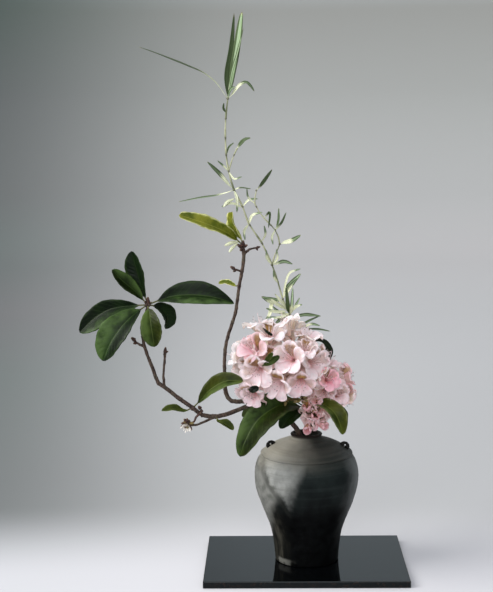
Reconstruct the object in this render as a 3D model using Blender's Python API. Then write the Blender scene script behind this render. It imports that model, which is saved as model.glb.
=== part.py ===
"""Ikebana arrangement: a rhododendron bough, rhododendron blossoms and variegated bamboo,
standing in a lugged stoneware jar on a black lacquered board.

Run with: blender --background --python part.py
The origin is the centre of the board's underside, +Z is up and the front faces -Y.
Way points below are millimetres and are turned into metres as each solid is made.
"""

from math import asin, cos, pi, sin, sqrt

import bmesh
import bpy
from mathutils import Matrix, Vector

MM = 0.001

# ---------------------------------------------------------------- driving dimensions (mm)
BOARD_WIDTH = 360.0
BOARD_DEPTH = 250.0
BOARD_THICKNESS = 12.4
BOARD_BEVEL = 1.2
SEAT_GAP = 0.3  # what touches on the real thing keeps this much air

VASE_FOOT_RADIUS = 57.0
VASE_BELLY_RADIUS = 93.5
VASE_BELLY_HEIGHT = 152.0  # above the jar's own foot
VASE_HEIGHT = 233.0
VASE_FLOOR = 9.5  # thickness of the clay under the stems
MOUTH_RADIUS = 21.5
VASE_SIDES = 36
VASE_X = 3.5  # the jar stands a little right of the board's middle
CORDON_HEIGHT = 197.0
CORDON_RADIUS = 82.5

LUG_RING_RADIUS = 4.6
LUG_ROPE_RADIUS = 2.8
LUG_OUT = 69.0
LUG_HEIGHT = 208.5
LUG_SIDES = 14  # steps round the ring
LUG_ROPE_SIDES = 8  # sides of the clay rope itself

STEM_SIDES = 8
LIMB_SPANS = 2  # rings along a limb, per way point
CLEARANCE_SPANS = 40  # places measured along a limb, per way point
BAMBOO_SIDES = 6
BALL_SUBDIVISIONS = 2
COROLLA_SIDES = 10

MIDRIB_FOLD = 0.28  # how far a blade's edges rise above its midrib, per millimetre of half width
RIM_TEST_POINTS = 8  # places round a stalk's end that are tested for clearance
RIM_STEP = 0.1
CURVE_STEPS = 12  # steps along a blade's curve, per way point, before it is cut into stations

TABLE = BOARD_THICKNESS + SEAT_GAP  # height of the jar's foot
STEM_FLOOR = TABLE + VASE_FLOOR + SEAT_GAP  # height of the lowest point of every cut stem

# ---------------------------------------------------------------- the jar's turned profile
# (radius, height above the jar's foot), outside from foot to lip, then inside back down
OUTER_WALL = [
    (VASE_FOOT_RADIUS - 1.5, 0.0),
    (VASE_FOOT_RADIUS, 1.5),
    (VASE_FOOT_RADIUS + 0.8, 12.0),
    (VASE_FOOT_RADIUS + 3.2, 34.0),
    (65.5, 60.0),
    (73.5, 83.0),
    (84.0, 109.0),
    (90.8, 131.0),
    (VASE_BELLY_RADIUS, VASE_BELLY_HEIGHT),
    (92.6, 169.0),
    (88.2, 184.0),
    (81.8, CORDON_HEIGHT - 3.2),
    (CORDON_RADIUS, CORDON_HEIGHT - 0.6),
    (79.6, CORDON_HEIGHT + 1.8),
    (72.5, 203.5),
    (61.5, 211.5),
    (48.0, 217.5),
    (35.5, 221.5),
    (28.6, 224.5),
    (27.0, 227.5),
    (28.4, 230.6),
    (27.4, 232.6),
]
INNER_WALL = [
    (25.0, VASE_HEIGHT),
    (MOUTH_RADIUS + 0.6, 231.6),
    (MOUTH_RADIUS, 228.5),
    (MOUTH_RADIUS, 221.5),
    (31.0, 216.5),
    (46.0, 211.0),
    (66.0, 199.5),
    (80.0, 183.0),
    (85.5, 166.0),
    (86.0, 150.0),
    (83.2, 130.0),
    (76.5, 108.0),
    (66.2, 83.0),
    (58.2, 60.0),
    (53.0, 34.0),
    (48.0, 14.0),
    (41.0, VASE_FLOOR),
]

# ---------------------------------------------------------------- stems: x, y, z, radius
# Each limb starts inside the limb that bears it. A foot stands on the jar's floor.
BOUGH_FOOT = (22.0, 14.0, 4.3)
BOUGH_LIMBS = {
    "main_arm": [
        (-9, -7, 243, 4.3),
        (-17, -12, 259, 4.2),
        (-41, -23, 288, 4.1),
        (-66, -32, 306, 4.0),
        (-84, -37, 309, 4.0),
        (-104, -46, 304, 3.6),
        (-130, -54, 295, 3.6),
        (-154, -60, 290, 3.8),
        (-180, -65, 294, 3.5),
        (-196, -67, 307, 3.4),
        (-225, -70, 329, 3.3),
        (-242, -73, 344, 3.4),
        (-255, -76, 354, 3.1),
        (-263, -80, 379, 2.8),
        (-273, -85, 408, 2.7),
        (-279, -88, 437, 2.4),
        (-274, -89, 466, 2.2),
        (-269, -90, 493, 2.2),
    ],
    "upright_arm": [
        (-84, -37, 309, 3.6),
        (-110, -30, 310, 3.8),
        (-130, -22, 309, 3.8),
        (-140, -14, 322, 3.6),
        (-142, -8, 352, 3.1),
        (-141, 0, 397, 2.9),
        (-134, 5, 427, 2.8),
        (-122, 10, 462, 2.8),
        (-115, 14, 510, 2.8),
        (-109, 15, 539, 2.9),
        (-106, 14, 566, 3.0),
        (-108, 12, 584, 2.8),
    ],
    "cut_stub": [(-276, -86, 420, 2.2), (-284, -88, 423, 1.9), (-293, -90, 430, 1.7)],
    "bare_spur": [
        (-244, -73, 345, 2.4),
        (-246, -71, 364, 1.9),
        (-244, -67, 388, 1.8),
        (-243, -63, 404, 2.2),
    ],
    "spent_twig": [
        (-156, -60, 290, 2.3),
        (-176, -66, 282, 1.9),
        (-192, -70, 277, 1.7),
        (-204, -74, 279, 1.6),
    ],
    "right_twig": [(-107, 14, 566, 2.2), (-96, 12, 576, 1.8), (-82, 9, 579, 1.5)],
    "bud_stub": [(-110, 15, 536, 1.8), (-118, 13, 539, 1.7), (-125, 11, 542, 1.3)],
}

SPRIG_FOOT = (-20.0, -26.0, 3.6)
SPRIG_LIMBS = {
    "sprig": [
        (7, -7, 243, 3.4),
        (9, -7, 262, 3.3),
        (5, -11, 292, 3.2),
        (-2, -18, 330, 2.8),
        (-5, -24, 374, 2.4),
    ],
    "left_fork": [(3, -13, 302, 2.6), (-18, -20, 330, 2.5), (-46, -26, 358, 2.4), (-66, -28, 380, 2.3)],
    "right_fork": [(5, -11, 294, 2.4), (18, -5, 310, 2.3), (31, 0, 326, 2.2)],
}

CULM_FOOT = (30.0, -6.0, 1.7)
CULM_LIMBS = {
    "culm": [
        (3, 18.6, 243, 1.6),
        (-2, 30, 299, 1.6),
        (-6, 44, 388, 1.5),
        (-10, 49, 425, 1.5),
        (-24, 51, 452, 1.5),
        (-37, 53, 481, 1.5),
        (-45, 55, 510, 1.4),
        (-56, 55, 543, 1.4),
        (-75, 53, 585, 1.4),
        (-97, 50, 618, 1.4),
        (-108, 45, 650, 1.4),
        (-123, 41, 680, 1.4),
        (-132, 38, 713, 1.3),
        (-136, 36, 742, 1.3),
        (-137, 34, 786, 1.2),
        (-135, 32, 817, 1.2),
        (-132, 30, 840, 1.2),
    ],
    "right_branchlet": [
        (-56, 55, 543, 1.1),
        (-50, 48, 564, 1.0),
        (-42, 41, 582, 1.0),
        (-50, 36, 608, 0.9),
        (-70, 32, 630, 0.9),
        (-86, 30, 656, 0.9),
        (-83, 27, 678, 0.9),
    ],
    "upper_branchlet": [(-132, 38, 713, 0.9), (-126, 36, 733, 0.9), (-117, 31, 753, 0.8)],
}

# ---------------------------------------------------------------- swellings that leaves and pedicels leave from
# name: (x, y, z, radius)
BOUGH_SWELLINGS = {
    "whorl": (-269, -90, 493, 5.0),
    "low_node": (-196, -67, 307, 4.4),
    "bend_node": (-156, -61, 290, 4.4),
    "crown": (-108, 12, 584, 4.0),
    "leaf_scar": (-115, 14, 510, 3.4),
    "spur_bud": (-243, -63, 406, 3.0),
    "spent_head": (-205, -74, 280, 4.6),
}
SPRIG_SWELLINGS = {
    "collar": (5, -11, 292, 5.2),
    "right_truss": (-5, -24, 376, 6.0),
    "left_truss": (-67, -28, 382, 6.0),
    "back_truss": (32, 0, 328, 5.0),
    "half_open": (8, -9, 272, 4.6),
}
CULM_SWELLINGS = {
    "skirt_node": (-24, 51, 452, 2.2),
    "low_node": (-37, 53, 481, 2.1),
    "fork_node": (-56, 55, 543, 2.2),
    "elbow_node": (-42, 41, 582, 1.7),
    "bend_node": (-50, 36, 608, 1.6),
    "branchlet_tip": (-83, 27, 679, 1.6),
    "middle_node": (-123, 41, 680, 2.1),
    "upper_tip": (-117, 31, 753, 1.5),
    "top_node": (-132, 30, 841, 2.1),
}

# ---------------------------------------------------------------- leaves
# finish, stations along the blade, thickness, share of the length that is stalk, half width of the stalk
RHODODENDRON_BLADE = ("rhododendron_leaf", 8, 1.6, 0.10, 1.3)
BAMBOO_BLADE = ("bamboo_leaf", 6, 1.0, 0.06, 0.7)

# name: (swelling, way points after it, half width, way the upper face looks)
RHODODENDRON_LEAVES = {
    "whorl_leaf_right": ("whorl", [(-228, -94, 507), (-189, -98, 510), (-152, -98, 505), (-121, -94, 494)],
                         18.5, (0.1, -0.8, 0.6)),
    "whorl_leaf_top": ("whorl", [(-279, -88, 524), (-287, -84, 552), (-296, -80, 584)],
                       19.0, (-0.55, -0.8, 0.1)),
    "whorl_leaf_folded": ("whorl", [(-291, -101, 519), (-312, -108, 539), (-326, -112, 556)],
                          13.0, (0.5, -0.75, 0.4)),
    "whorl_leaf_far_left": ("whorl", [(-302, -84, 490), (-335, -80, 484), (-363, -80, 468), (-388, -82, 444)],
                            23.0, (-0.2, -0.8, 0.55)),
    "whorl_leaf_lower_left": ("whorl", [(-292, -106, 478), (-314, -120, 456), (-330, -127, 432), (-343, -130, 403)],
                              24.0, (-0.35, -0.85, 0.4)),
    "whorl_leaf_down": ("whorl", [(-265, -108, 481), (-261, -118, 459), (-256, -122, 425)],
                        16.5, (-0.1, -0.9, 0.4)),
    "whorl_leaf_small": ("whorl", [(-250, -84, 487), (-237, -79, 470), (-239, -76, 448)],
                         9.5, (0.75, -0.6, 0.3)),
    "bough_leaf_upper": ("low_node", [(-182, -73, 322), (-165, -77, 341), (-138, -82, 357), (-107, -85, 358)],
                         14.5, (-0.15, -0.75, 0.65)),
    "bough_leaf_left": ("low_node", [(-212, -71, 302), (-229, -74, 307), (-250, -76, 304)],
                        8.0, (0.0, -0.45, 0.9)),
    "bough_leaf_lower": ("bend_node", [(-151, -72, 284), (-140, -78, 281), (-125, -83, 271)],
                         8.0, (0.2, -0.5, 0.85)),
    "sunlit_leaf": ("crown", [(-124, 4, 599), (-148, -6, 614), (-184, -15, 629), (-218, -20, 640)],
                    12.5, (0.3, -0.75, 0.6)),
    "edge_on_leaf": ("crown", [(-112, 5, 603), (-122, 2, 622), (-125, 0, 644)],
                     8.5, (-0.9, -0.4, 0.1)),
    "young_leaf": ("leaf_scar", [(-124, 16, 511), (-138, 20, 516), (-152, 22, 514)],
                   5.5, (0.0, -0.6, 0.8)),
    "collar_leaf_left": ("collar", [(-16, -34, 303), (-46, -62, 309), (-84, -86, 288), (-104, -96, 256),
                                    (-114, -100, 228)], 25.0, (-0.45, -0.75, 0.5)),
    "collar_leaf_front": ("collar", [(-10, -26, 290), (-28, -42, 282), (-44, -53, 266)],
                          13.0, (-0.2, -0.85, 0.45)),
    "collar_leaf_right": ("collar", [(19, -26, 303), (37, -42, 304), (55, -54, 288), (66, -60, 256)],
                          15.0, (0.45, -0.7, 0.55)),
    "collar_leaf_back_left": ("collar", [(-12, 3, 300), (-44, 20, 306), (-84, 38, 290), (-112, 50, 262)],
                              16.5, (0.15, 0.35, 0.9)),
    "collar_leaf_back_right": ("collar", [(19, 5, 296), (38, 22, 296), (62, 48, 274), (76, 68, 244)],
                               16.0, (0.3, 0.35, 0.9)),
    "truss_leaf_arched": ("right_truss", [(-2, 0, 386), (6, 28, 397), (22, 40, 406), (38, 42, 400), (45, 42, 380),
                                          (38, 42, 360)], 15.0, (0.15, 0.35, 0.95)),
}

BAMBOO_LEAVES = {
    "bamboo_leaf_top": ("top_node", [(-128, 29, 856), (-121, 27, 892), (-113, 24, 934), (-105, 20, 990)],
                        9.5, (-0.5, -0.85, 0.0)),
    "bamboo_leaf_top_left": ("top_node", [(-142, 26, 855), (-156, 20, 873), (-178, 10, 888), (-212, 0, 902),
                                          (-248, -10, 917), (-283, -20, 930)], 4.5, (0.3, -0.15, 0.95)),
    "bamboo_leaf_top_right": ("top_node", [(-122, 26, 850), (-110, 22, 864), (-98, 21, 868), (-85, 20, 853)],
                              4.5, (0.1, -0.5, 0.85)),
    "bamboo_leaf_upper": ("upper_tip", [(-111, 28, 761), (-102, 25, 769), (-92, 22, 772)],
                          3.6, (0.2, -0.7, 0.7)),
    "bamboo_leaf_middle_left": ("middle_node", [(-133, 38, 690), (-148, 34, 708), (-170, 29, 731)],
                                4.6, (0.4, -0.7, 0.55)),
    "bamboo_leaf_middle_low": ("middle_node", [(-134, 38, 676), (-152, 32, 671), (-184, 22, 667), (-221, 12, 661)],
                               3.2, (0.0, -0.3, 0.95)),
    "bamboo_leaf_branchlet": ("branchlet_tip", [(-77, 24, 687), (-67, 20, 701), (-55, 15, 717)],
                              4.4, (0.5, -0.7, -0.3)),
    "bamboo_leaf_bend": ("bend_node", [(-46, 33, 616), (-43, 31, 628), (-43, 29, 648)],
                         3.4, (-0.8, -0.55, 0.1)),
    "bamboo_leaf_elbow": ("elbow_node", [(-34, 38, 585), (-21, 34, 588), (-4, 30, 599)],
                          5.2, (-0.2, -0.75, 0.6)),
    "bamboo_leaf_fork": ("fork_node", [(-46, 51, 546), (-34, 49, 549), (-19, 46, 545)],
                         4.2, (0.1, -0.65, 0.75)),
    "bamboo_leaf_slant": ("low_node", [(-31, 51, 491), (-21, 48, 508), (-4, 45, 528)],
                          6.0, (-0.5, -0.75, 0.4)),
    "bamboo_leaf_left": ("low_node", [(-47, 51, 478), (-58, 47, 477), (-76, 40, 487)],
                         6.5, (0.1, -0.7, 0.7)),
    "bamboo_leaf_skirt": ("skirt_node", [(-13, 48, 449), (2, 46, 452), (32, 44, 450)],
                          5.0, (0.0, -0.5, 0.85)),
}

# ---------------------------------------------------------------- blossoms
# name: (truss, centre of the open face)
BLOSSOMS = {
    "blossom_01": ("left_truss", (-80, -25, 448)),
    "blossom_02": ("left_truss", (-58, -60, 440)),
    "blossom_03": ("left_truss", (-92, -68, 414)),
    "blossom_04": ("left_truss", (-121, -34, 392)),
    "blossom_05": ("left_truss", (-84, -84, 373)),
    "blossom_06": ("left_truss", (-94, -72, 331)),
    "blossom_07": ("left_truss", (-102, 10, 352)),
    "blossom_08": ("left_truss", (-64, 34, 407)),
    "blossom_09": ("right_truss", (-35, -22, 449)),
    "blossom_10": ("right_truss", (5, -28, 430)),
    "blossom_11": ("right_truss", (-28, -92, 399)),
    "blossom_12": ("right_truss", (19, -56, 384)),
    "blossom_13": ("right_truss", (-50, -86, 350)),
    "blossom_14": ("right_truss", (-8, -84, 349)),
    "blossom_15": ("right_truss", (-27, 24, 428)),
    "blossom_16": ("back_truss", (44, -2, 375)),
    "blossom_17": ("back_truss", (78, 12, 344)),
    "blossom_18": ("back_truss", (74, -2, 301)),
    "blossom_19": ("back_truss", (46, 48, 326)),
}
HALF_OPEN = {
    "half_open_blossom_01": ("half_open", (3, -48, 305)),
    "half_open_blossom_02": ("half_open", (18, -50, 288)),
    "half_open_blossom_03": ("half_open", (4, -41, 260)),
    "half_open_blossom_04": ("half_open", (35, -36, 266)),
}
BLOSSOM_RADIUS = 19.0
BLOSSOM_DEPTH = 30.0
HALF_OPEN_RADIUS = 8.0
HALF_OPEN_DEPTH = 24.0
PEDICEL_RADIUS = 1.1

# ---------------------------------------------------------------- colours: linear RGB, roughness
FINISHES = {
    "black_lacquer": ((0.004, 0.005, 0.006), 0.08),
    "smoked_stoneware": ((0.045, 0.044, 0.036), 0.55),
    "bough_bark": ((0.085, 0.060, 0.045), 0.80),
    "sprig_bark": ((0.075, 0.050, 0.035), 0.80),
    "bamboo_culm": ((0.330, 0.340, 0.170), 0.45),
    "rhododendron_leaf": ((0.025, 0.060, 0.018), 0.35),
    "bamboo_leaf": ((0.150, 0.240, 0.110), 0.45),
    "blossom": ((0.800, 0.560, 0.600), 0.50),
    "half_open_blossom": ((0.620, 0.260, 0.330), 0.50),
}


def finished(node, finish):
    """Gives the node its own material of the named finish, and its name to its mesh."""
    colour, roughness = FINISHES[finish]
    material = bpy.data.materials.new(node.name)
    material.use_nodes = True
    shader = material.node_tree.nodes["Principled BSDF"]
    shader.inputs["Base Color"].default_value = (*colour, 1.0)
    shader.inputs["Roughness"].default_value = roughness
    shader.inputs["Metallic"].default_value = 0.0
    material.diffuse_color = (*colour, 1.0)
    node.data.materials.append(material)
    node.data.name = node.name
    return node


def placed(name, shape):
    """Turns a bmesh in millimetres into an object in metres."""
    bmesh.ops.recalc_face_normals(shape, faces=shape.faces)
    shape.transform(Matrix.Scale(MM, 4))
    mesh = bpy.data.meshes.new(name)
    shape.to_mesh(mesh)
    shape.free()
    node = bpy.data.objects.new(name, mesh)
    bpy.context.scene.collection.objects.link(node)
    return node


def joined(name, shapes):
    """One node from overlapping shapes: the first is kept, the rest are united with it."""
    node = placed(name, shapes[0])
    group = bpy.data.collections.new(f"{name}_parts")
    bpy.context.scene.collection.children.link(group)
    for number, shape in enumerate(shapes[1:], 1):
        part = placed(f"{name}_part_{number:02d}", shape)
        bpy.context.scene.collection.objects.unlink(part)
        group.objects.link(part)
        part.hide_render = True
        part.display_type = "WIRE"
    union = node.modifiers.new("union", "BOOLEAN")
    union.operation = "UNION"
    union.solver = "EXACT"
    union.operand_type = "COLLECTION"
    union.collection = group
    return node


def smooth_path(points, spans):
    """Points along a smooth curve through the given ones, each span cut into equal steps.

    The slope at each point leans towards its longer span, so a long straight run stays straight."""
    points = [Vector(p) for p in points]
    steps = [b - a for a, b in zip(points, points[1:])]
    lengths = [step.length for step in steps]
    slopes = [steps[0] / lengths[0]]
    for i in range(1, len(steps)):
        before, after = steps[i - 1] / lengths[i - 1], steps[i] / lengths[i]
        slopes.append((before * lengths[i - 1] + after * lengths[i]) / (lengths[i - 1] + lengths[i]))
    slopes.append(steps[-1] / lengths[-1])
    path = []
    for i, length in enumerate(lengths):
        for step in range(spans):
            t = step / spans
            path.append(
                (2 * t**3 - 3 * t**2 + 1) * points[i]
                + (t**3 - 2 * t**2 + t) * length * slopes[i]
                + (3 * t**2 - 2 * t**3) * points[i + 1]
                + (t**3 - t**2) * length * slopes[i + 1]
            )
    path.append(points[-1])
    return path


def stations_along(points, count):
    """Evenly spaced points along the smooth curve through the given ones."""
    path = smooth_path(points, CURVE_STEPS)
    lengths = [0.0]
    for a, b in zip(path, path[1:]):
        lengths.append(lengths[-1] + (b - a).length)
    stations = []
    piece = 0
    for step in range(count + 1):
        wanted = lengths[-1] * step / count
        while piece < len(path) - 2 and lengths[piece + 1] < wanted:
            piece += 1
        share = (wanted - lengths[piece]) / (lengths[piece + 1] - lengths[piece])
        stations.append(path[piece].lerp(path[piece + 1], min(share, 1.0)))
    return stations


def tangent_at(path, i):
    return (path[min(i + 1, len(path) - 1)] - path[max(i - 1, 0)]).normalized()


def middle_line(points, spans):
    """The places and radii along the middle of a limb given by (x, y, z, radius) points."""
    places = smooth_path([p[:3] for p in points], spans)
    radii = []
    for low, high in zip(points, points[1:]):
        for step in range(spans):
            radii.append(low[3] + (high[3] - low[3]) * step / spans)
    radii.append(points[-1][3])
    return list(zip(places, radii))


def limb(points, sides):
    """A round, closed, tapering limb."""
    line = middle_line(points, LIMB_SPANS)
    centres = [place for place, radius in line]
    shape = bmesh.new()
    across = tangent_at(centres, 0).orthogonal().normalized()
    rings = []
    for i, (centre, radius) in enumerate(line):
        along = tangent_at(centres, i)
        across = (across - across.dot(along) * along).normalized()
        other = along.cross(across)
        ring = []
        for side in range(sides):
            turn = 2 * pi * side / sides
            ring.append(shape.verts.new(centre + radius * (cos(turn) * across + sin(turn) * other)))
        rings.append(ring)
    close_rings(shape, rings)
    return shape


def close_rings(shape, rings):
    """Skins the rings in turn and caps both ends."""
    sides = len(rings[0])
    for low, high in zip(rings, rings[1:]):
        for side in range(sides):
            after = (side + 1) % sides
            shape.faces.new((low[side], low[after], high[after], high[side]))
    shape.faces.new(rings[0])
    shape.faces.new(rings[-1])


def ball(x, y, z, radius):
    shape = bmesh.new()
    place = Matrix.Translation((x, y, z))
    bmesh.ops.create_icosphere(shape, subdivisions=BALL_SUBDIVISIONS, radius=radius, matrix=place)
    return shape


def standing(foot, points):
    """The limb's points with its foot added, so that its cut end clears the jar's floor by the seat gap."""
    x, y, radius = foot
    run = Vector(points[0][:3]) - Vector((x, y, STEM_FLOOR))
    lean = asin(sqrt(run.x**2 + run.y**2) / run.length)
    return [(x, y, STEM_FLOOR + radius * sin(lean), radius), *points]


def stem(name, foot, limbs, swellings, sides, finish):
    """A stem with its side limbs and swellings as one solid. The first limb stands in the jar."""
    first, *others = limbs.values()
    shapes = [limb(standing(foot, first), sides)]
    for points in others:
        shapes.append(limb(points, sides))
    for swelling in swellings.values():
        shapes.append(ball(*swelling))
    node = finished(joined(name, shapes), finish)
    smooth(node)
    return node


def smooth(node):
    node.data.shade_smooth()
    node.data.set_sharp_from_angle(angle=pi / 4)


def seat(swelling, lines, towards, stalk):
    """Where a stalk's flat end clears its swelling, and the limb that the swelling is on, by the seat gap."""
    centre = Vector(swelling[:3])
    out = (Vector(towards) - centre).normalized()
    across = out.orthogonal().normalized() * stalk
    step = 2 * pi / RIM_TEST_POINTS
    rim = [Matrix.Rotation(step * turn, 3, out) @ across for turn in range(RIM_TEST_POINTS)]
    base = centre + out * (swelling[3] + SEAT_GAP)
    while any((base + corner - place).length < radius + SEAT_GAP
              for line in lines for place, radius in line for corner in rim):
        base += RIM_STEP * out
    return base, out


def leaf_outline(share, petiole, half_width, stalk):
    """Half width of the leaf at this share of its length: a slim stalk, then an oval blade."""
    if share <= petiole:
        return stalk
    along = (share - petiole) / (1.0 - petiole)
    return stalk + (half_width - stalk) * sin(pi * along**1.1) ** 0.8


def leaf(name, swelling, lines, points, half_width, facing, blade):
    """A thin blade folded a little along its midrib: four corners a station, ending in one point."""
    finish, stations, thickness, petiole, stalk = blade
    base, out = seat(swelling, lines, points[0], stalk)
    spine = stations_along([base, *points], stations)
    shape = bmesh.new()
    rings = []
    for i, middle in enumerate(spine[:-1]):
        along = tangent_at(spine, i) if i else out
        side = along.cross(Vector(facing)).normalized()
        up = side.cross(along)
        width = leaf_outline(i / stations, petiole, half_width, stalk)
        rise = MIDRIB_FOLD * (width - stalk) * up
        rings.append([
            shape.verts.new(middle - width * side + rise),
            shape.verts.new(middle + thickness / 2 * up),
            shape.verts.new(middle + width * side + rise),
            shape.verts.new(middle - thickness / 2 * up),
        ])
    for low, high in zip(rings, rings[1:]):
        for edge, middle in ((0, 1), (0, 3), (2, 1), (2, 3)):
            shape.faces.new((low[edge], low[middle], high[middle]))
            shape.faces.new((low[edge], high[middle], high[edge]))
    tip = shape.verts.new(spine[-1])
    last = rings[-1]
    for corner in range(4):
        shape.faces.new((last[corner], last[(corner + 1) % 4], tip))
    shape.faces.new(rings[0])
    return finished(placed(name, shape), finish)


def corolla(name, swelling, lines, face, radius, depth, finish):
    """A pedicel and a funnel with five lobes, its front dished down to one point in the throat."""
    start, axis = seat(swelling, lines, face, PEDICEL_RADIUS)
    length = (Vector(face) - start).length
    across = axis.orthogonal().normalized()
    other = axis.cross(across)
    shape = bmesh.new()
    # (distance along the axis, radius, share of the radius lost between two lobes)
    profile = [
        (0.0, PEDICEL_RADIUS, 0.0),
        (length - depth, PEDICEL_RADIUS, 0.0),
        (length - 0.9 * depth, 0.14 * radius + 1.0, 0.0),
        (length - 0.5 * depth, 0.30 * radius + 1.0, 0.0),
        (length - 0.2 * depth, 0.55 * radius, 0.0),
        (length, radius, 0.24),
        (length + 1.0, 0.97 * radius, 0.24),
        (length - 0.12 * depth, 0.42 * radius, 0.0),
    ]
    rings = []
    for height, ring_radius, notch in profile:
        ring = []
        for side in range(COROLLA_SIDES):
            turn = 2 * pi * side / COROLLA_SIDES
            reach = ring_radius * (1.0 - notch * (side % 2))
            ring.append(shape.verts.new(
                start + height * axis + reach * (cos(turn) * across + sin(turn) * other)
            ))
        rings.append(ring)
    close_rings(shape, rings)
    shape.faces.ensure_lookup_table()
    shape.faces.remove(shape.faces[-1])
    throat = shape.verts.new(start + (length - 0.45 * depth) * axis)
    last = rings[-1]
    for side in range(COROLLA_SIDES):
        shape.faces.new((last[side], last[(side + 1) % COROLLA_SIDES], throat))
    node = finished(placed(name, shape), finish)
    node.data.shade_smooth()
    return node


def display_board():
    shape = bmesh.new()
    size = Matrix.Diagonal((BOARD_WIDTH, BOARD_DEPTH, BOARD_THICKNESS, 1.0))
    middle = Matrix.Translation((0.0, 0.0, BOARD_THICKNESS / 2))
    bmesh.ops.create_cube(shape, size=1.0, matrix=middle @ size)
    bmesh.ops.bevel(shape, geom=shape.edges[:], offset=BOARD_BEVEL, segments=2, profile=0.5, affect="EDGES")
    return finished(placed("display_board", shape), "black_lacquer")


def jar_body():
    """The turned wall: every profile point becomes a ring, and both floors close to a centre point."""
    shape = bmesh.new()
    rings = []
    for radius, height in [*OUTER_WALL, *INNER_WALL]:
        ring = []
        for side in range(VASE_SIDES):
            turn = 2 * pi * side / VASE_SIDES
            ring.append(shape.verts.new((VASE_X + radius * cos(turn), radius * sin(turn), TABLE + height)))
        rings.append(ring)
    close_rings(shape, rings)
    return shape


def jar_lug(side):
    """A small ring of clay on the shoulder, its hole running front to back."""
    shape = bmesh.new()
    centre = Vector((VASE_X + side * LUG_OUT, 0.0, TABLE + LUG_HEIGHT))
    rings = []
    for step in range(LUG_SIDES):
        turn = 2 * pi * step / LUG_SIDES
        out = Vector((cos(turn), 0.0, sin(turn)))
        ring = []
        for part in range(LUG_ROPE_SIDES):
            roll = 2 * pi * part / LUG_ROPE_SIDES
            offset = LUG_ROPE_RADIUS * (cos(roll) * out + sin(roll) * Vector((0.0, 1.0, 0.0)))
            ring.append(shape.verts.new(centre + LUG_RING_RADIUS * out + offset))
        rings.append(ring)
    for low, high in zip(rings, rings[1:] + rings[:1]):
        for part in range(LUG_ROPE_SIDES):
            after = (part + 1) % LUG_ROPE_SIDES
            shape.faces.new((low[part], low[after], high[after], high[part]))
    return shape


def vase():
    node = finished(joined("vase", [jar_body(), jar_lug(-1), jar_lug(1)]), "smoked_stoneware")
    smooth(node)
    return node


def clear_scene():
    for thing in list(bpy.data.objects):
        bpy.data.objects.remove(thing)


def build():
    clear_scene()
    display_board()
    vase()
    stem("rhododendron_bough", BOUGH_FOOT, BOUGH_LIMBS, BOUGH_SWELLINGS, STEM_SIDES, "bough_bark")
    stem("flowering_sprig", SPRIG_FOOT, SPRIG_LIMBS, SPRIG_SWELLINGS, STEM_SIDES, "sprig_bark")
    stem("bamboo_culm", CULM_FOOT, CULM_LIMBS, CULM_SWELLINGS, BAMBOO_SIDES, "bamboo_culm")
    bough_lines = [middle_line(points, CLEARANCE_SPANS) for points in BOUGH_LIMBS.values()]
    sprig_lines = [middle_line(points, CLEARANCE_SPANS) for points in SPRIG_LIMBS.values()]
    culm_lines = [middle_line(points, CLEARANCE_SPANS) for points in CULM_LIMBS.values()]
    for name, (bearer, points, half_width, facing) in RHODODENDRON_LEAVES.items():
        on_sprig = bearer in SPRIG_SWELLINGS
        swelling = SPRIG_SWELLINGS[bearer] if on_sprig else BOUGH_SWELLINGS[bearer]
        lines = sprig_lines if on_sprig else bough_lines
        leaf(name, swelling, lines, points, half_width, facing, RHODODENDRON_BLADE)
    for name, (bearer, points, half_width, facing) in BAMBOO_LEAVES.items():
        leaf(name, CULM_SWELLINGS[bearer], culm_lines, points, half_width, facing, BAMBOO_BLADE)
    for name, (bearer, face) in BLOSSOMS.items():
        corolla(name, SPRIG_SWELLINGS[bearer], sprig_lines, face, BLOSSOM_RADIUS, BLOSSOM_DEPTH,
                "blossom")
    for name, (bearer, face) in HALF_OPEN.items():
        corolla(name, SPRIG_SWELLINGS[bearer], sprig_lines, face, HALF_OPEN_RADIUS, HALF_OPEN_DEPTH,
                "half_open_blossom")


build()
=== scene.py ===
# %% [markdown]
# # A spring arrangement in a lugged stoneware jar
# Three plants stand in a smoke-fired jar on a black lacquered board: a bare rhododendron
# bough with a whorl of leathery leaves, a short flowering sprig of the same shrub, and a
# thin culm of variegated bamboo. The measured solids of every piece are loaded first, and
# each lesson below turns one of them into something that looks grown, thrown or polished.

from math import cos, pi, radians, sin, sqrt
from random import Random

import bmesh
import bpy
from mathutils import Matrix, Quaternion, Vector, noise


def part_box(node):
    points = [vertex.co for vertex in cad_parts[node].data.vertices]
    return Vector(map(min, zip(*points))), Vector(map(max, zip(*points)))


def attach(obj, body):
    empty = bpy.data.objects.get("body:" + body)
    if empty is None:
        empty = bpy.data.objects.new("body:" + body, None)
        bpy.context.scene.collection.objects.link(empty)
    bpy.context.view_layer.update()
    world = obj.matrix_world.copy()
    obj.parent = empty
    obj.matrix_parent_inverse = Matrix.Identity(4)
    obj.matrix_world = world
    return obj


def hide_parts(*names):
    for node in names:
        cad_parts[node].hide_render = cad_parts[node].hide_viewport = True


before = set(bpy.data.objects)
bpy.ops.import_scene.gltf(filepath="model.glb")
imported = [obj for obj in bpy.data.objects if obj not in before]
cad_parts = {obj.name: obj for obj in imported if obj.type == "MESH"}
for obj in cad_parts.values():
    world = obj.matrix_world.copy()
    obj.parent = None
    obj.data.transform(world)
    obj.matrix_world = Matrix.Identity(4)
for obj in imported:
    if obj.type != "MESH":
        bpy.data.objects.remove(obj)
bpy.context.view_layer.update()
MM = 0.001

# %% [markdown]
# ## The camera
# The arrangement is seen from the front, a little above its middle, through a long lens,
# which keeps the bough's reach true. Its direction is built from three turns: left or
# right, down, and a slight tilt of the horizon.

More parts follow.
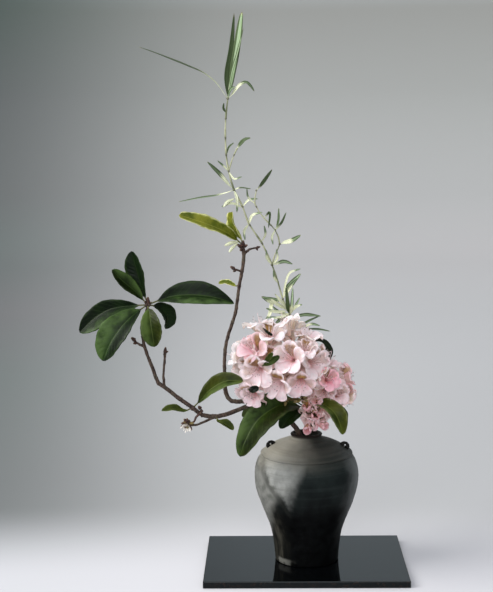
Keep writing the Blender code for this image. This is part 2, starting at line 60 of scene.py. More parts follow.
# %% Camera
CAMERA_PLACE = Vector((-0.0577, -2.2874, 0.809))
CAMERA_YAW = radians(-1.103)
CAMERA_PITCH = radians(7.836)
CAMERA_ROLL = radians(-0.563)
LENS_MM = 79.15
SENSOR_MM = 36.0
level_ahead = Vector((sin(CAMERA_YAW), cos(CAMERA_YAW), 0.0))
ahead = level_ahead * cos(CAMERA_PITCH) - Vector((0.0, 0.0, sin(CAMERA_PITCH)))
level = Vector((cos(CAMERA_YAW), -sin(CAMERA_YAW), 0.0))
upright = level.cross(ahead)
right = cos(CAMERA_ROLL) * level + sin(CAMERA_ROLL) * upright
top = cos(CAMERA_ROLL) * upright - sin(CAMERA_ROLL) * level
lens = bpy.data.cameras.new("long_lens")
lens.lens = LENS_MM
lens.sensor_width = SENSOR_MM
camera = bpy.data.objects.new("long_lens", lens)
camera.matrix_world = Matrix.Translation(CAMERA_PLACE) @ Matrix((right, top, -ahead)).transposed().to_4x4()
bpy.context.scene.collection.objects.link(camera)
bpy.context.scene.camera = camera
bpy.context.scene.view_settings.view_transform = "Standard"
print("camera looks along", ahead[:])

# %% [markdown]
# ## Readings
# Every finish is a small net of shader nodes. A Reading is one number that varies over a
# surface, and adding or multiplying readings adds the Math nodes, so that a finish can be
# written like a formula.

# %% Readings
def maths(operation, flipped=False):
    """A method that hands a reading, and perhaps a second reading or a number, to a Math node."""
    def method(self, other=0.0):
        first, second = (other, self) if flipped else (self, other)
        return self.finish.node("ShaderNodeMath", "Value", {"operation": operation}, {0: first, 1: second})
    return method


class Reading:
    """One output of a node. Arithmetic on readings adds Math nodes."""

    def __init__(self, finish, socket):
        self.finish = finish
        self.socket = socket

    __add__ = __radd__ = maths("ADD")
    __sub__ = maths("SUBTRACT")
    __rsub__ = maths("SUBTRACT", flipped=True)
    __mul__ = __rmul__ = maths("MULTIPLY")
    __truediv__ = maths("DIVIDE")
    __pow__ = maths("POWER")
    size = maths("ABSOLUTE")
    sine = maths("SINE")
    most = maths("MAXIMUM")
    bearing = maths("ARCTAN2")

    def step(self, low, high):
        """0 where the reading is at or under low, 1 at or over high, and a soft step between."""
        return self.finish.node("ShaderNodeMapRange", "Result", {"interpolation_type": "SMOOTHSTEP"},
                                {"Value": self, "From Min": low, "From Max": high})

    def fall(self, low, high):
        """The same the other way about: 1 at or under low, 0 at or over high."""
        return 1.0 - self.step(low, high)


print("a reading knows", *[name for name in vars(Reading) if not name.startswith("_")])

# %% [markdown]
# ## Finishes
# A Finish is one material. Numbers that are the same all over go straight onto the shader's
# own sockets, and what varies is made of readings: place, chart, marks and cloudy noise.
# Colours are blended by Mix nodes, never by Math, which would turn them grey.

# %% Finishes
class Finish:
    """A material whose fixed numbers are set at once and whose varying ones are linked later."""

    def __init__(self, name, **fixed):
        self.material = bpy.data.materials.new(name)
        self.material.use_nodes = True
        self.tree = self.material.node_tree
        self.shader = self.tree.nodes["Principled BSDF"]
        for socket, value in fixed.items():
            self.shader.inputs[socket.replace("_", " ")].default_value = value

    def node(self, kind, outputs, settings=None, inputs=None):
        """Adds a node and returns the readings of the outputs asked for, one or several."""
        made = self.tree.nodes.new(kind)
        for name, value in (settings or {}).items():
            if name == "stops":
                self.set_stops(made.color_ramp, value)
            else:
                setattr(made, name, value)
        for socket, value in (inputs or {}).items():
            if isinstance(value, Reading):
                self.tree.links.new(value.socket, made.inputs[socket])
            else:
                made.inputs[socket].default_value = value
        if isinstance(outputs, (str, int)):
            return Reading(self, made.outputs[outputs])
        return [Reading(self, made.outputs[output]) for output in outputs]

    def set_stops(self, ramp, stops):
        while len(ramp.elements) < len(stops):
            ramp.elements.new(1.0)
        for element, (place, colour) in zip(ramp.elements, stops):
            element.position = place
            element.color = (*colour, 1.0)

    def place(self):
        return self.node("ShaderNodeTexCoord", "Object")

    def parts(self, vector):
        return self.node("ShaderNodeSeparateXYZ", ("X", "Y", "Z"), None, {"Vector": vector})

    def joined(self, x, y, z=0.0):
        return self.node("ShaderNodeCombineXYZ", "Vector", None, {"X": x, "Y": y, "Z": z})

    def chart(self):
        """How far round and how far along a skin a point lies."""
        return self.parts(self.node("ShaderNodeUVMap", "UV", {"uv_map": "chart"}))[:2]

    def sheet(self):
        """A blade's chart: turn, run, 1 on the underside, and the distance from the midrib."""
        turn, run = self.chart()
        under = turn.step(0.999, 1.001)
        return turn, run, under, ((turn - under) * 2.0 - 1.0).size()

    def mark(self, name):
        return self.node("ShaderNodeAttribute", "Fac", {"attribute_name": name})

    def grain(self, scale, stretch=(1.0, 1.0, 1.0), detail=3.0, place=None):
        """Cloudy noise from 0 to 1 over the piece's own place, or over another one."""
        stretched = self.node("ShaderNodeVectorMath", "Vector", {"operation": "MULTIPLY"},
                              {0: place or self.place(), 1: stretch})
        return self.node("ShaderNodeTexNoise", "Fac", None,
                         {"Vector": stretched, "Scale": scale, "Detail": detail, "Roughness": 0.55})

    def mix(self, share, first, second):
        """first where share is 0, second where it is 1. Both are colours or readings of colours."""
        first, second = [c if isinstance(c, Reading) else (*c, 1.0) for c in (first, second)]
        return self.node("ShaderNodeMix", 2, {"data_type": "RGBA"}, {0: share, 6: first, 7: second})

    def mottle(self, cloud, first, second):
        return self.mix(cloud.step(0.3, 0.7), first, second)

    def done(self, colour, rough=None, relief=None, depth=0.0, strength=1.0):
        """Links the colour, and where they vary the roughness and a relief this deep in metres."""
        varying = {"Base Color": colour}
        if relief:
            varying["Roughness"] = rough
            varying["Normal"] = self.node("ShaderNodeBump", "Normal", None,
                                          {"Height": relief, "Distance": depth, "Strength": strength})
        for socket, value in varying.items():
            self.tree.links.new(value.socket, self.shader.inputs[socket])
        print("finish", self.material.name, "has", len(self.tree.nodes), "nodes")
        return self


print("a finish knows", *[name for name in vars(Finish) if not name.startswith("_")])

# %% [markdown]
# ## Skins
# Nearly everything here is a skin stretched over rings: a thrown jar, a leaf with a top and
# an underside, a petal, a pedicel. One class gathers the rings, keeps a chart of how far
# round and along each corner lies, and makes a closed mesh. The chart steers the veins and
# stripes, and marks carry one number per piece, such as how old a leaf is.

# %% Skins
class Skin:
    """Gathers closed skins of rings and makes one piece of them."""

    def __init__(self, *marks):
        self.points = []
        self.faces = []
        self.chart = []
        self.marks = {mark: [] for mark in marks}

    def wrap(self, rings, turns, **marks):
        """Closes one skin. A ring of one point is a tip, and turns has one place more than a ring."""
        starts = []
        for ring in rings:
            starts.append(len(self.points))
            self.points.extend(ring)
            for mark, held in self.marks.items():
                held.extend([marks[mark]] * len(ring))
        last = len(rings) - 1
        for i in range(last):
            sides = max(len(rings[i]), len(rings[i + 1]))
            for k in range(sides):
                corners = []
                for ring, turn in ((i, k), (i, k + 1), (i + 1, k + 1), (i + 1, k)):
                    point = starts[ring] + turn % len(rings[ring])
                    if point not in [corner[0] for corner in corners]:
                        corners.append((point, turns[turn], ring / last))
                self.add_face(corners)
        for end in (0, last):
            if len(rings[end]) > 1:
                self.add_face([(starts[end] + k, turns[k], end / last) for k in range(len(rings[end]))])

    def add_face(self, corners):
        self.faces.append([corner[0] for corner in corners])
        self.chart.extend(value for corner in corners for value in corner[1:])

    def piece(self, name, finish, slot, *nodes):
        mesh = bpy.data.meshes.new(name)
        mesh.from_pydata(self.points, [], self.faces)
        mesh.uv_layers.new(name="chart").uv.foreach_set("vector", self.chart)
        for mark, values in self.marks.items():
            mesh.attributes.new(mark, "FLOAT", "POINT").data.foreach_set("value", values)
        shape = bmesh.new()
        shape.from_mesh(mesh)
        bmesh.ops.recalc_face_normals(shape, faces=shape.faces)
        shape.to_mesh(mesh)
        shape.free()
        mesh.shade_smooth()
        shown(name, mesh, finish, slot, *nodes)


def shown(name, mesh, finish, slot, *nodes):
    """Puts a mesh in the scene as a piece that rides with the object and stands for the named nodes."""
    mesh.materials.clear()
    mesh.materials.append(finish.material)
    piece = bpy.data.objects.new(name, mesh)
    bpy.context.scene.collection.objects.link(piece)
    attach(piece, "root")
    if nodes:
        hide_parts(*nodes)
    print(name, "has", len(mesh.polygons), "faces")


print("a skin knows", *[name for name in vars(Skin) if not name.startswith("_")])

# %% [markdown]
# ## Curves and tubes
# Stalks, filaments and midribs all follow smooth curves through a few points. The curve is a
# chain of cubic pieces that meet with one slope, and a tube is rings of points round it. The
# direction across is carried on from ring to ring, so that the skin doesn't twist.

# %% Curves and tubes
def in_metres(points):
    """Vectors in metres from places written in millimetres."""
    return [MM * Vector(point) for point in points]


def smooth_path(points, spans):
    """Places along a smooth curve through the given ones, each span cut into equal steps."""
    points = [Vector(p) for p in points]
    steps = [b - a for a, b in zip(points, points[1:])]
    lengths = [step.length for step in steps]
    slopes = [steps[0] / lengths[0]]
    for i in range(1, len(steps)):
        slopes.append((steps[i - 1] + steps[i]) / (lengths[i - 1] + lengths[i]))
    slopes.append(steps[-1] / lengths[-1])
    path = []
    for i, length in enumerate(lengths):
        for step in range(spans):
            t = step / spans
            path.append((2 * t**3 - 3 * t**2 + 1) * points[i] + (t**3 - 2 * t**2 + t) * length * slopes[i]
                        + (3 * t**2 - 2 * t**3) * points[i + 1] + (t**3 - t**2) * length * slopes[i + 1])
    path.append(points[-1])
    return path


def tangent_at(path, i):
    return (path[min(i + 1, len(path) - 1)] - path[max(i - 1, 0)]).normalized()


def soft_step(value, low, high):
    share = min(max((value - low) / (high - low), 0.0), 1.0)
    return share * share * (3.0 - 2.0 * share)


def even_turns(sides):
    """The chart's places round a ring of evenly spaced points."""
    return [k / sides for k in range(sides + 1)]


def angles(sides):
    """Evenly spaced turns round a ring, in radians."""
    return [2 * pi * k / sides for k in range(sides)]


def tube(skin, points, radii, sides, **marks):
    """Wraps a round tapering tube along a path, with a point at its far end."""
    across = tangent_at(points, 0).orthogonal().normalized()
    rings = []
    for i, (point, radius) in enumerate(zip(points, radii)):
        along = tangent_at(points, i)
        across = (across - across.dot(along) * along).normalized()
        other = along.cross(across)
        rings.append([point + radius * (cos(turn) * across + sin(turn) * other) for turn in angles(sides)])
    rings.append([points[-1] + tangent_at(points, len(points) - 1) * radii[-1] * 0.6])
    skin.wrap(rings, even_turns(sides), **marks)


print("a soft step halfway", soft_step(0.5, 0.0, 1.0))

# %% [markdown]
# ## Studio
# The floor and the backdrop are one sweep of matt paper: flat under the board, then curving
# up all round, so that no edge shows from any side. The paper's colour carries painted light:
# pale in front of and around the board as a pool of painted light, then grey, and darker
# towards its left as painted shade.

# %% Studio sweep
# radius and height of the paper in metres, from the middle out
SWEEP_PROFILE = [(0.5, 0.0), (1.5, 0.0), (3.2, 0.0), (4.4, 0.06), (5.2, 0.36), (5.7, 0.95), (5.9, 1.9),
                 (5.95, 3.4)]
SWEEP_SIDES = 96
# how far back along floor and wall, in tens of metres: the paper's colour there, painted light and shade
# included
LEFT_GREYS = [(0.08, (0.120, 0.130, 0.131)), (0.20, (0.145, 0.165, 0.161)), (0.33, (0.198, 0.200, 0.203)),
              (0.50, (0.188, 0.214, 0.208)), (0.61, (0.180, 0.191, 0.190)), (0.75, (0.154, 0.167, 0.167)),
              (0.88, (0.098, 0.130, 0.117)), (0.97, (0.150, 0.175, 0.170))]
RIGHT_GREYS = [(0.06, (0.436, 0.440, 0.450)), (0.19, (0.506, 0.508, 0.518)), (0.32, (0.553, 0.551, 0.558)),
               (0.48, (0.583, 0.570, 0.572)), (0.60, (0.541, 0.541, 0.537)), (0.745, (0.473, 0.480, 0.466)),
               (0.87, (0.391, 0.393, 0.375)), (0.97, (0.63, 0.70, 0.74))]


def sweep_paper():
    finish = Finish("painted_light_paper", Roughness=0.9, Specular_IOR_Level=0.15)
    x, y, z = finish.parts(finish.place())
    reach = (x * x + y * y) ** 0.5
    sideways = x / (reach + 2.3)
    far = (reach + z * 2.0) / 10.0
    left_grey = finish.node("ShaderNodeValToRGB", "Color", {"stops": LEFT_GREYS}, {"Fac": far})
    right_grey = finish.node("ShaderNodeValToRGB", "Color", {"stops": RIGHT_GREYS}, {"Fac": far})
    # painted shade: the paper darkens towards the left, where the light falls off
    wall = finish.mix(sideways.step(-0.250, 0.002), left_grey, right_grey)
    # painted light: a pale pool on the floor in front of and around the board
    front = ((x / 2.2) ** 2.0 + ((y + 0.6) / 0.93) ** 2.0) ** 0.5
    floor = finish.mix(sideways.step(-0.25, 0.0), (0.455, 0.460, 0.485), (0.590, 0.586, 0.615))
    return finish.done(finish.mix(front.step(0.60, 1.08), floor, wall))


sweep = Skin()
sweep_rings = [[Vector((0.0, 0.0, 0.0))]]
for radius, height in SWEEP_PROFILE:
    sweep_rings.append([Vector((radius * cos(turn), radius * sin(turn), height))
                        for turn in angles(SWEEP_SIDES)])
sweep.wrap(sweep_rings, even_turns(SWEEP_SIDES))
sweep.faces.pop()  # the lid that closes the bowl
sweep_mesh = bpy.data.meshes.new("studio_sweep")
sweep_mesh.from_pydata(sweep.points, [], sweep.faces)
sweep_mesh.shade_smooth()
sweep_mesh.materials.append(sweep_paper().material)
studio_sweep = bpy.data.objects.new("studio_sweep", sweep_mesh)
bpy.context.scene.collection.objects.link(studio_sweep)
print("sweep reaches", SWEEP_PROFILE[-1], "m")

# %% [markdown]
# ## Light
# One broad soft lamp stands high on the left and a little in front, so leaves and jar are
# modelled from that side. A wider, cooler one fills from the front, and a third only lifts
# the backdrop. The rest is even light from the world.

# %% Lamps
def soft_lamp(name, place, aim, size, power, colour):
    light = bpy.data.lights.new(name, "AREA")
    light.shape = "RECTANGLE"
    light.size, light.size_y = size
    light.energy = power
    light.color = colour
    lamp = bpy.data.objects.new(name, light)
    lamp.location = place
    lamp.rotation_mode = "QUATERNION"
    lamp.rotation_quaternion = (Vector(aim) - Vector(place)).to_track_quat("-Z", "Y")
    lamp.visible_camera = False
    bpy.context.scene.collection.objects.link(lamp)


# name, place, what it aims at, size, power in watts, colour
soft_lamp("key", (-2.35, -0.55, 2.1), (0.0, 0.0, 0.35), (1.8, 1.8), 108.0, (1.0, 0.985, 0.96))
soft_lamp("fill", (-0.6, -3.4, 2.2), (0.0, 0.0, 0.4), (2.8, 2.2), 78.0, (0.98, 0.98, 1.0))
soft_lamp("backdrop", (0.3, 2.2, 3.9), (0.0, 5.2, 0.4), (4.0, 1.0), 46.0, (1.0, 1.0, 1.0))
world = bpy.data.worlds.new("studio_air")
world.use_nodes = True
air = world.node_tree.nodes["Background"].inputs
air["Color"].default_value = (0.93, 0.96, 1.0, 1.0)
air["Strength"].default_value = 0.66
bpy.context.scene.world = world
print("lamps", [lamp.name for lamp in bpy.data.lights])

# %% [markdown]
# ## The jar's clay
# The jar is unglazed stoneware, fired in smoke. Its left front kept a pale grey patch that
# runs down to a point, the shoulder is olive brown, and the rest went black. Light is painted
# into the clay as well: paler on the left towards the lamp, darker to the right, and a painted
# reflection along the right flank. All of that is laid out by angle round the jar and height
# above the floor, with noise to fray edges.

# %% Smoked stoneware
jar_low, jar_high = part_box("vase")
jar_axis = (jar_low.x + jar_high.x) / 2


def stoneware():
    finish = Finish("smoked_stoneware", Specular_IOR_Level=0.07)
    x, y, z = finish.parts(finish.place())
    angle = (x - jar_axis).bearing(0.0 - y)
    cloud = finish.grain(16.0, detail=4.0)
    fray = finish.grain(70.0, detail=5.0)
    lines = finish.grain(60.0, (0.10, 0.10, 4.0), detail=3.0)
    streaks = finish.grain(120.0, (1.0, 1.0, 0.08), detail=3.0)
    grit = finish.grain(900.0, detail=2.0)
    height = z + (cloud - 0.5) * 0.034 + (fray - 0.5) * 0.020
    bearing = angle + (cloud - 0.5) * 0.40 + (fray - 0.5) * 0.24
    around = angle.step(-2.9, -2.2)
    # smoke: black below, a shade greener and paler above the belly; the right flank is paler with a painted
    # reflection
    smoke = finish.mottle(fray, (0.0004, 0.0005, 0.0006), (0.0022, 0.0027, 0.0028))
    upper = finish.mottle(cloud, (0.0035, 0.0060, 0.0060), (0.0120, 0.0170, 0.0160))
    upper = finish.mix(lines.step(0.45, 0.75) * 0.35, upper, (0.0240, 0.0310, 0.0290))
    smoke = finish.mix(height.step(0.110, 0.175), smoke, upper)
    # painted reflection: the right flank lightens towards its edge
    painted_right_reflection = bearing.step(0.72, 1.25) * angle.fall(2.1, 2.9)
    smoke = finish.mix(painted_right_reflection * height.step(0.04, 0.14), smoke, (0.110, 0.118, 0.116))
    # low on the left: brown, with one broad ash streak and finer ones that run down to the foot
    brown = finish.mix(streaks.step(0.40, 0.68), (0.006, 0.006, 0.005), (0.030, 0.029, 0.023))
    broad = (bearing + 0.93).size().fall(0.03, 0.14)
    brown = finish.mix(broad * streaks.step(0.30, 0.55) * 0.6, brown, (0.055, 0.052, 0.042))
    left = bearing.fall(-0.95, -0.45)
    colour = finish.mix(left * around * height.fall(0.110, 0.160), smoke, brown)
    # above it the flank is ash grey, as far down as a third of the jar
    ash = finish.mottle(fray, (0.110, 0.114, 0.102), (0.205, 0.206, 0.190))
    flank = (bearing + (0.135 - z) * 8.0).fall(-0.88, -0.52) * around * height.step(0.035, 0.125)
    colour = finish.mix(flank, colour, ash)
    # the bare patch lies above two edges that meet in a point low on the left front
    from_point = angle + 0.449
    above_left = (height - (0.137 - from_point * 0.112)).step(-0.006, 0.010)
    past = from_point.most(0.0)
    above_right = (height - (0.133 + past * 0.066 + past * past * 0.28)).step(-0.022, 0.044)
    patch = above_left * above_right * around
    seam = (height - (0.128 - from_point * 0.112)).size().step(0.003, 0.013)
    crack = (1.0 - seam) * angle.fall(-0.5, -0.3) * around
    colour = finish.mix(crack * 0.42, colour, (0.022, 0.023, 0.020))
    pale = finish.mix(fray.step(0.20, 0.80), (0.210, 0.216, 0.204), (0.360, 0.366, 0.348))
    pale = finish.mix(lines.step(0.45, 0.75) * 0.30, pale, (0.130, 0.128, 0.114))
    # painted shade: the patch darkens towards its right, away from the lamp
    pale = finish.mix(angle.step(-0.80, 0.05) * 0.75, pale, (0.085, 0.090, 0.084))
    colour = finish.mix(patch, colour, pale)
    # the shoulder is olive grey smoke, paler on the left and darker on the right, partly the smoke's own and
    # partly painted light and shade from the lamp on the left
    smoke_and_painted_light = bearing.fall(-1.20, 0.55) * around
    olive = finish.mix(smoke_and_painted_light, (0.022, 0.024, 0.021), (0.340, 0.325, 0.275))
    thrown = finish.mix(smoke_and_painted_light, (0.044, 0.043, 0.037), (0.225, 0.208, 0.168))
    olive = finish.mix(lines.step(0.40, 0.66) * 0.55, olive, thrown)
    olive = finish.mix(z.step(0.237, 0.244), olive, (0.016, 0.012, 0.010))
    colour = finish.mix(height.step(0.186, 0.224), colour, olive)
    # a lighter rim just above the foot, on the left front only
    foot_ring = z.fall(0.0215, 0.0265) * bearing.fall(-0.75, -0.35) * fray.step(0.40, 0.56)
    colour = finish.mix(foot_ring * around * 0.8, colour, (0.150, 0.150, 0.135))
    rough = 0.50 + 0.20 * patch + (fray - 0.5) * 0.25
    relief = lines * 0.40 + grit * 0.25 + fray * 0.5
    return finish.done(colour, rough, relief, 0.0006, 0.8)


def smoked_black():
    """The same clay where the smoke lay thickest."""
    finish = Finish("smoked_black", Specular_IOR_Level=0.12)
    fray = finish.grain(160.0, detail=4.0)
    grit = finish.grain(900.0, detail=2.0)
    colour = finish.mix(fray.step(0.35, 0.75), (0.0015, 0.0017, 0.0018), (0.020, 0.019, 0.016))
    return finish.done(colour, 0.45 + 0.2 * fray, fray + grit * 0.4, 0.0006, 0.8)


smoked_stoneware = stoneware()
lug_clay = smoked_black()

# %% [markdown]
# ## The jar
# The body is thrown: its profile is turned about the jar's axis, as clay is on the wheel.
# Fingers leave shallow spirals, thicker on the shoulder, and the jar is a little out of
# round. The profile is a few measured points with a smooth curve drawn through them.

# %% Thrown body
# radius and height above the jar's foot in millimetres, from the foot up, over the lip and down inside
JAR_OUTSIDE = [(30.0, 1.2), (50.0, 0.9), (55.5, 0.0), (57.0, 1.5), (57.8, 12.0), (60.2, 34.0), (65.5, 60.0),
               (73.5, 83.0), (84.0, 109.0), (90.8, 131.0), (93.5, 152.0), (92.6, 169.0), (88.2, 184.0),
               (82.0, 193.4), (81.2, 194.4), (82.5, 196.4), (81.4, 198.4), (79.0, 199.4), (72.5, 203.5),
               (61.5, 211.5), (48.0, 217.5), (35.5, 221.5), (28.6, 224.5), (27.0, 227.5), (28.4, 230.6),
               (27.4, 232.6), (25.0, 233.0)]
JAR_INSIDE = [(22.1, 231.6), (21.5, 228.5), (21.5, 221.5), (31.0, 216.5), (46.0, 211.0), (66.0, 199.5),
              (80.0, 183.0), (85.5, 166.0), (86.0, 150.0), (83.2, 130.0), (76.5, 108.0), (66.2, 83.0),
              (58.2, 60.0), (53.0, 34.0), (48.0, 14.0), (41.0, 9.5), (20.0, 9.3)]
JAR_SIDES = 144


def finger_marks(radius, height, turn, outside):
    """How far the wall is pushed out here, in millimetres, by the potter's fingers and the kiln."""
    spiral = sin(2 * pi * (height / 6.3 + turn / (2 * pi)) + 1.6 * sin(height / 9.0))
    fine = sin(2 * pi * height / 2.3 + 0.8 * turn)
    on_shoulder = soft_step(height, 185.0, 205.0)
    soft = noise.noise(Vector((cos(turn) * radius, sin(turn) * radius, height)) / 34.0)
    push = 0.16 * spiral + 0.05 * fine + on_shoulder * 0.14 * fine + 0.7 * soft
    if not outside:
        return 0.8 * spiral
    return push * soft_step(height, 2.0, 20.0) * (1.0 - soft_step(height, 222.0, 229.0) * 0.7)


def jar_place(out, aside, height):
    """A place in metres from one in millimetres, measured from the middle of the jar's foot."""
    return Vector((jar_axis, 0.0, jar_low.z)) + MM * Vector((out, aside, height))


def jar_rings(profile, spans, outside):
    rings = []
    for radius, side, height in smooth_path([(radius, 0.0, height) for radius, height in profile], spans):
        ring = []
        for turn in angles(JAR_SIDES):
            reach = radius + finger_marks(radius, height, turn, outside)
            ring.append(jar_place(reach * cos(turn), reach * sin(turn), height))
        rings.append(ring)
    return rings


jar_skin = Skin()
foot_centre = [jar_place(0.0, 0.0, JAR_OUTSIDE[0][1])]
floor_centre = [jar_place(0.0, 0.0, JAR_INSIDE[-1][1])]
outside_rings = jar_rings(JAR_OUTSIDE, 5, True)
inside_rings = jar_rings(JAR_INSIDE, 3, False)
jar_skin.wrap([foot_centre, *outside_rings, *inside_rings, floor_centre], even_turns(JAR_SIDES))
jar_skin.piece("jar_body", smoked_stoneware, "smoked_stoneware", "vase")

# %% [markdown]
# ## The lugs
# Two small ears of clay sit on the shoulder. Each is a rolled coil bent into an arch, its
# ends pressed down and smeared, so the coil is thick at both feet and thin at the crown.
# They were set by eye, the left one nearer the neck and a little higher.

# %% Lugs
LUG_STEPS = 28


def lug(name, side, out_from_axis, height):
    centre = jar_place(side * out_from_axis, 0.0, height)
    out = Vector((side * 0.50, 0.0, 0.866))
    along = Vector((side * 0.866, 0.0, -0.50))
    path = []
    radii = []
    for step in range(LUG_STEPS + 1):
        turn = pi * (step / LUG_STEPS * 1.36 - 0.18)
        path.append(centre + MM * (5.0 * cos(turn) * along + (5.4 * sin(turn) - 0.3) * out))
        radii.append(MM * (2.6 + 1.6 * abs(cos(turn)) ** 3 + 0.15 * sin(9.0 * turn)))
    skin = Skin()
    tube(skin, path, radii, 16)
    skin.piece(name, lug_clay, "smoked_stoneware")


# name, side, how far out from the jar's axis and how high above its foot in millimetres
lug("jar_lug_left", -1, 64.0, 211.0)
lug("jar_lug_right", 1, 69.0, 208.5)

# %% [markdown]
# ## The board
# A thin board under many coats of black lacquer, rubbed until it mirrors. Only its gloss
# tells it from plain black, so the finish is smooth, with a trace of ripple and faint wear
# on its arrises where brown undercoat begins to show.

# %% Black lacquer
# where its arrises begin, along and across, in metres from the board's middle
ARRIS_X = 0.1778
ARRIS_Y = 0.1228


def lacquer():
    finish = Finish("black_lacquer", IOR=1.31, Specular_Tint=(0.86, 0.98, 1.0, 1.0))
    x, y = finish.parts(finish.place())[:2]
    edge = (x.size() - ARRIS_X).step(0.0, 0.0018).most((y.size() - ARRIS_Y).step(0.0, 0.0018))
    worn = edge * finish.grain(220.0, detail=3.0).step(0.50, 0.72)
    haze = finish.grain(9.0, detail=2.0)
    hairlines = finish.grain(160.0, (0.06, 1.0, 1.0), detail=2.0)
    colour = finish.mix(worn * 0.45, (0.0010, 0.0013, 0.0016), (0.030, 0.014, 0.008))
    rough = 0.045 + 0.035 * haze + 0.03 * hairlines.step(0.6, 0.8) + 0.2 * worn
    ripple = finish.grain(38.0, detail=1.0)
    return finish.done(colour, rough, ripple, 0.00008, 0.35)


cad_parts["display_board"].data.materials[0] = lacquer().material

# %% [markdown]
# ## Reading the solids
# A leaf's solid is a string of four-cornered rings that ends in one point, and a blossom's
# is a string of ten-cornered ones that ends in its throat. Walking outwards from that last
# point, edge by edge, gives the rings back in order, and with them the line of the piece.

# %% Rings of a solid
LEAF_CORNERS = 4
FLOWER_CORNERS = 10


def rings_of(node, corners):
    """The rings of a node from its base to its point, each a list of places, then the point itself."""
    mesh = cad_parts[node].data
    index = {}
    places = []
    same = []
    for vertex in mesh.vertices:
        key = tuple(round(c * 1e5) for c in vertex.co)
        if key not in index:
            index[key] = len(places)
            places.append(vertex.co.copy())
        same.append(index[key])
    links = [set() for place in places]
    for edge in mesh.edges:
        a, b = (same[v] for v in edge.vertices)
        if a != b:
            links[a].add(b)
            links[b].add(a)
    for start, linked in enumerate(links):
        if len(linked) != corners:
            continue
        levels = [[start]]
        seen = {start}
        while levels[-1]:
            after = set().union(*(links[point] for point in levels[-1])) - seen
            seen |= after
            levels.append(sorted(after))
        levels.pop()
        if all(len(level) == corners for level in levels[1:]):
            return [[places[point] for point in level] for level in reversed(levels)]
    raise ValueError(f"{node} is not a string of rings")


def middle_of(places):
    return sum(places, Vector()) / len(places)


print("rings of one leaf", len(rings_of("whorl_leaf_right", LEAF_CORNERS)))
print("rings of one blossom", len(rings_of("blossom_01", FLOWER_CORNERS)))

# %% [markdown]
# ## Midribs
# A blade's solid says where its midrib runs, which way its face looks and how wide it is. In
# every ring the two corners farthest apart are the margins, and the other two are the ridge
# along the middle. A smooth curve through the ridge gives the stations for the skin.

# %% Midribs
def blade_stations(node, spans):
    """(middle, across, up) along a CAD blade, and its widest half width."""
    *rings, tip = rings_of(node, LEAF_CORNERS)
    middles = []
    ups = []
    widest = 0.0
    for ring in rings:
        pairs = [(a, b) for i, a in enumerate(ring) for b in ring[i + 1:]]
        left, right_edge = max(pairs, key=lambda pair: (pair[0] - pair[1]).length)
        ridge = [corner for corner in ring if corner not in (left, right_edge)]
        middle = middle_of(ridge)
        widest = max(widest, (left - right_edge).length / 2)
        middles.append(middle)
        ups.append((left + right_edge) / 2 - middle)
    middles.append(tip[0])
    ups.append(ups[-1])
    ups[0] = ups[1]
    return stations_of(middles, ups, spans), widest


def stations_of(middles, ups, spans):
    """The same along a smooth curve through some middles, turning gently from one up to the next."""
    path = smooth_path(middles, spans)
    stations = []
    for i, middle in enumerate(path):
        part = min(i // spans, len(ups) - 2)
        up = ups[part].normalized().lerp(ups[part + 1].normalized(), i / spans - part)
        along = tangent_at(path, i)
        across = along.cross(up).normalized()
        stations.append((middle, across, across.cross(along)))
    return stations


print("stations of one leaf", len(blade_stations("whorl_leaf_right", 6)[0]))

# %% [markdown]
# ## Leaf blades
# The real blade is thinner and softer than its solid: a round stalk that opens into a
# leathery sheet with a groove over the midrib, halves that rise and then roll down at the
# margin, and a wavy edge. Every ring of the skin has a top row and an underside row.

# %% Leaf blades
def sheet_corners(columns):
    """A ring's points round a sheet: from edge to edge over the top, then back underneath."""
    return [(t, True) for t in columns] + [(t, False) for t in columns[-2:0:-1]]


def sheet_turns(columns):
    """The chart's places for such a ring: 0 to 1 over the top, 1 to 2 underneath."""
    shares = [((t + 1.0) / 2.0, top_side) for t, top_side in sheet_corners(columns)]
    return [share if top_side else 2.0 - share for share, top_side in shares] + [2.0]


def half_width(share, widest, habit):
    """Half the blade's width at this share of its length: stalk first, then a swelling sine."""
    if share <= habit["petiole"]:
        return habit["stalk"]
    along = (share - habit["petiole"]) / (1.0 - habit["petiole"])
    swelling = sin(pi * along ** habit["skew"]) ** habit["fullness"]
    return habit["stalk"] + (widest - habit["stalk"]) * swelling


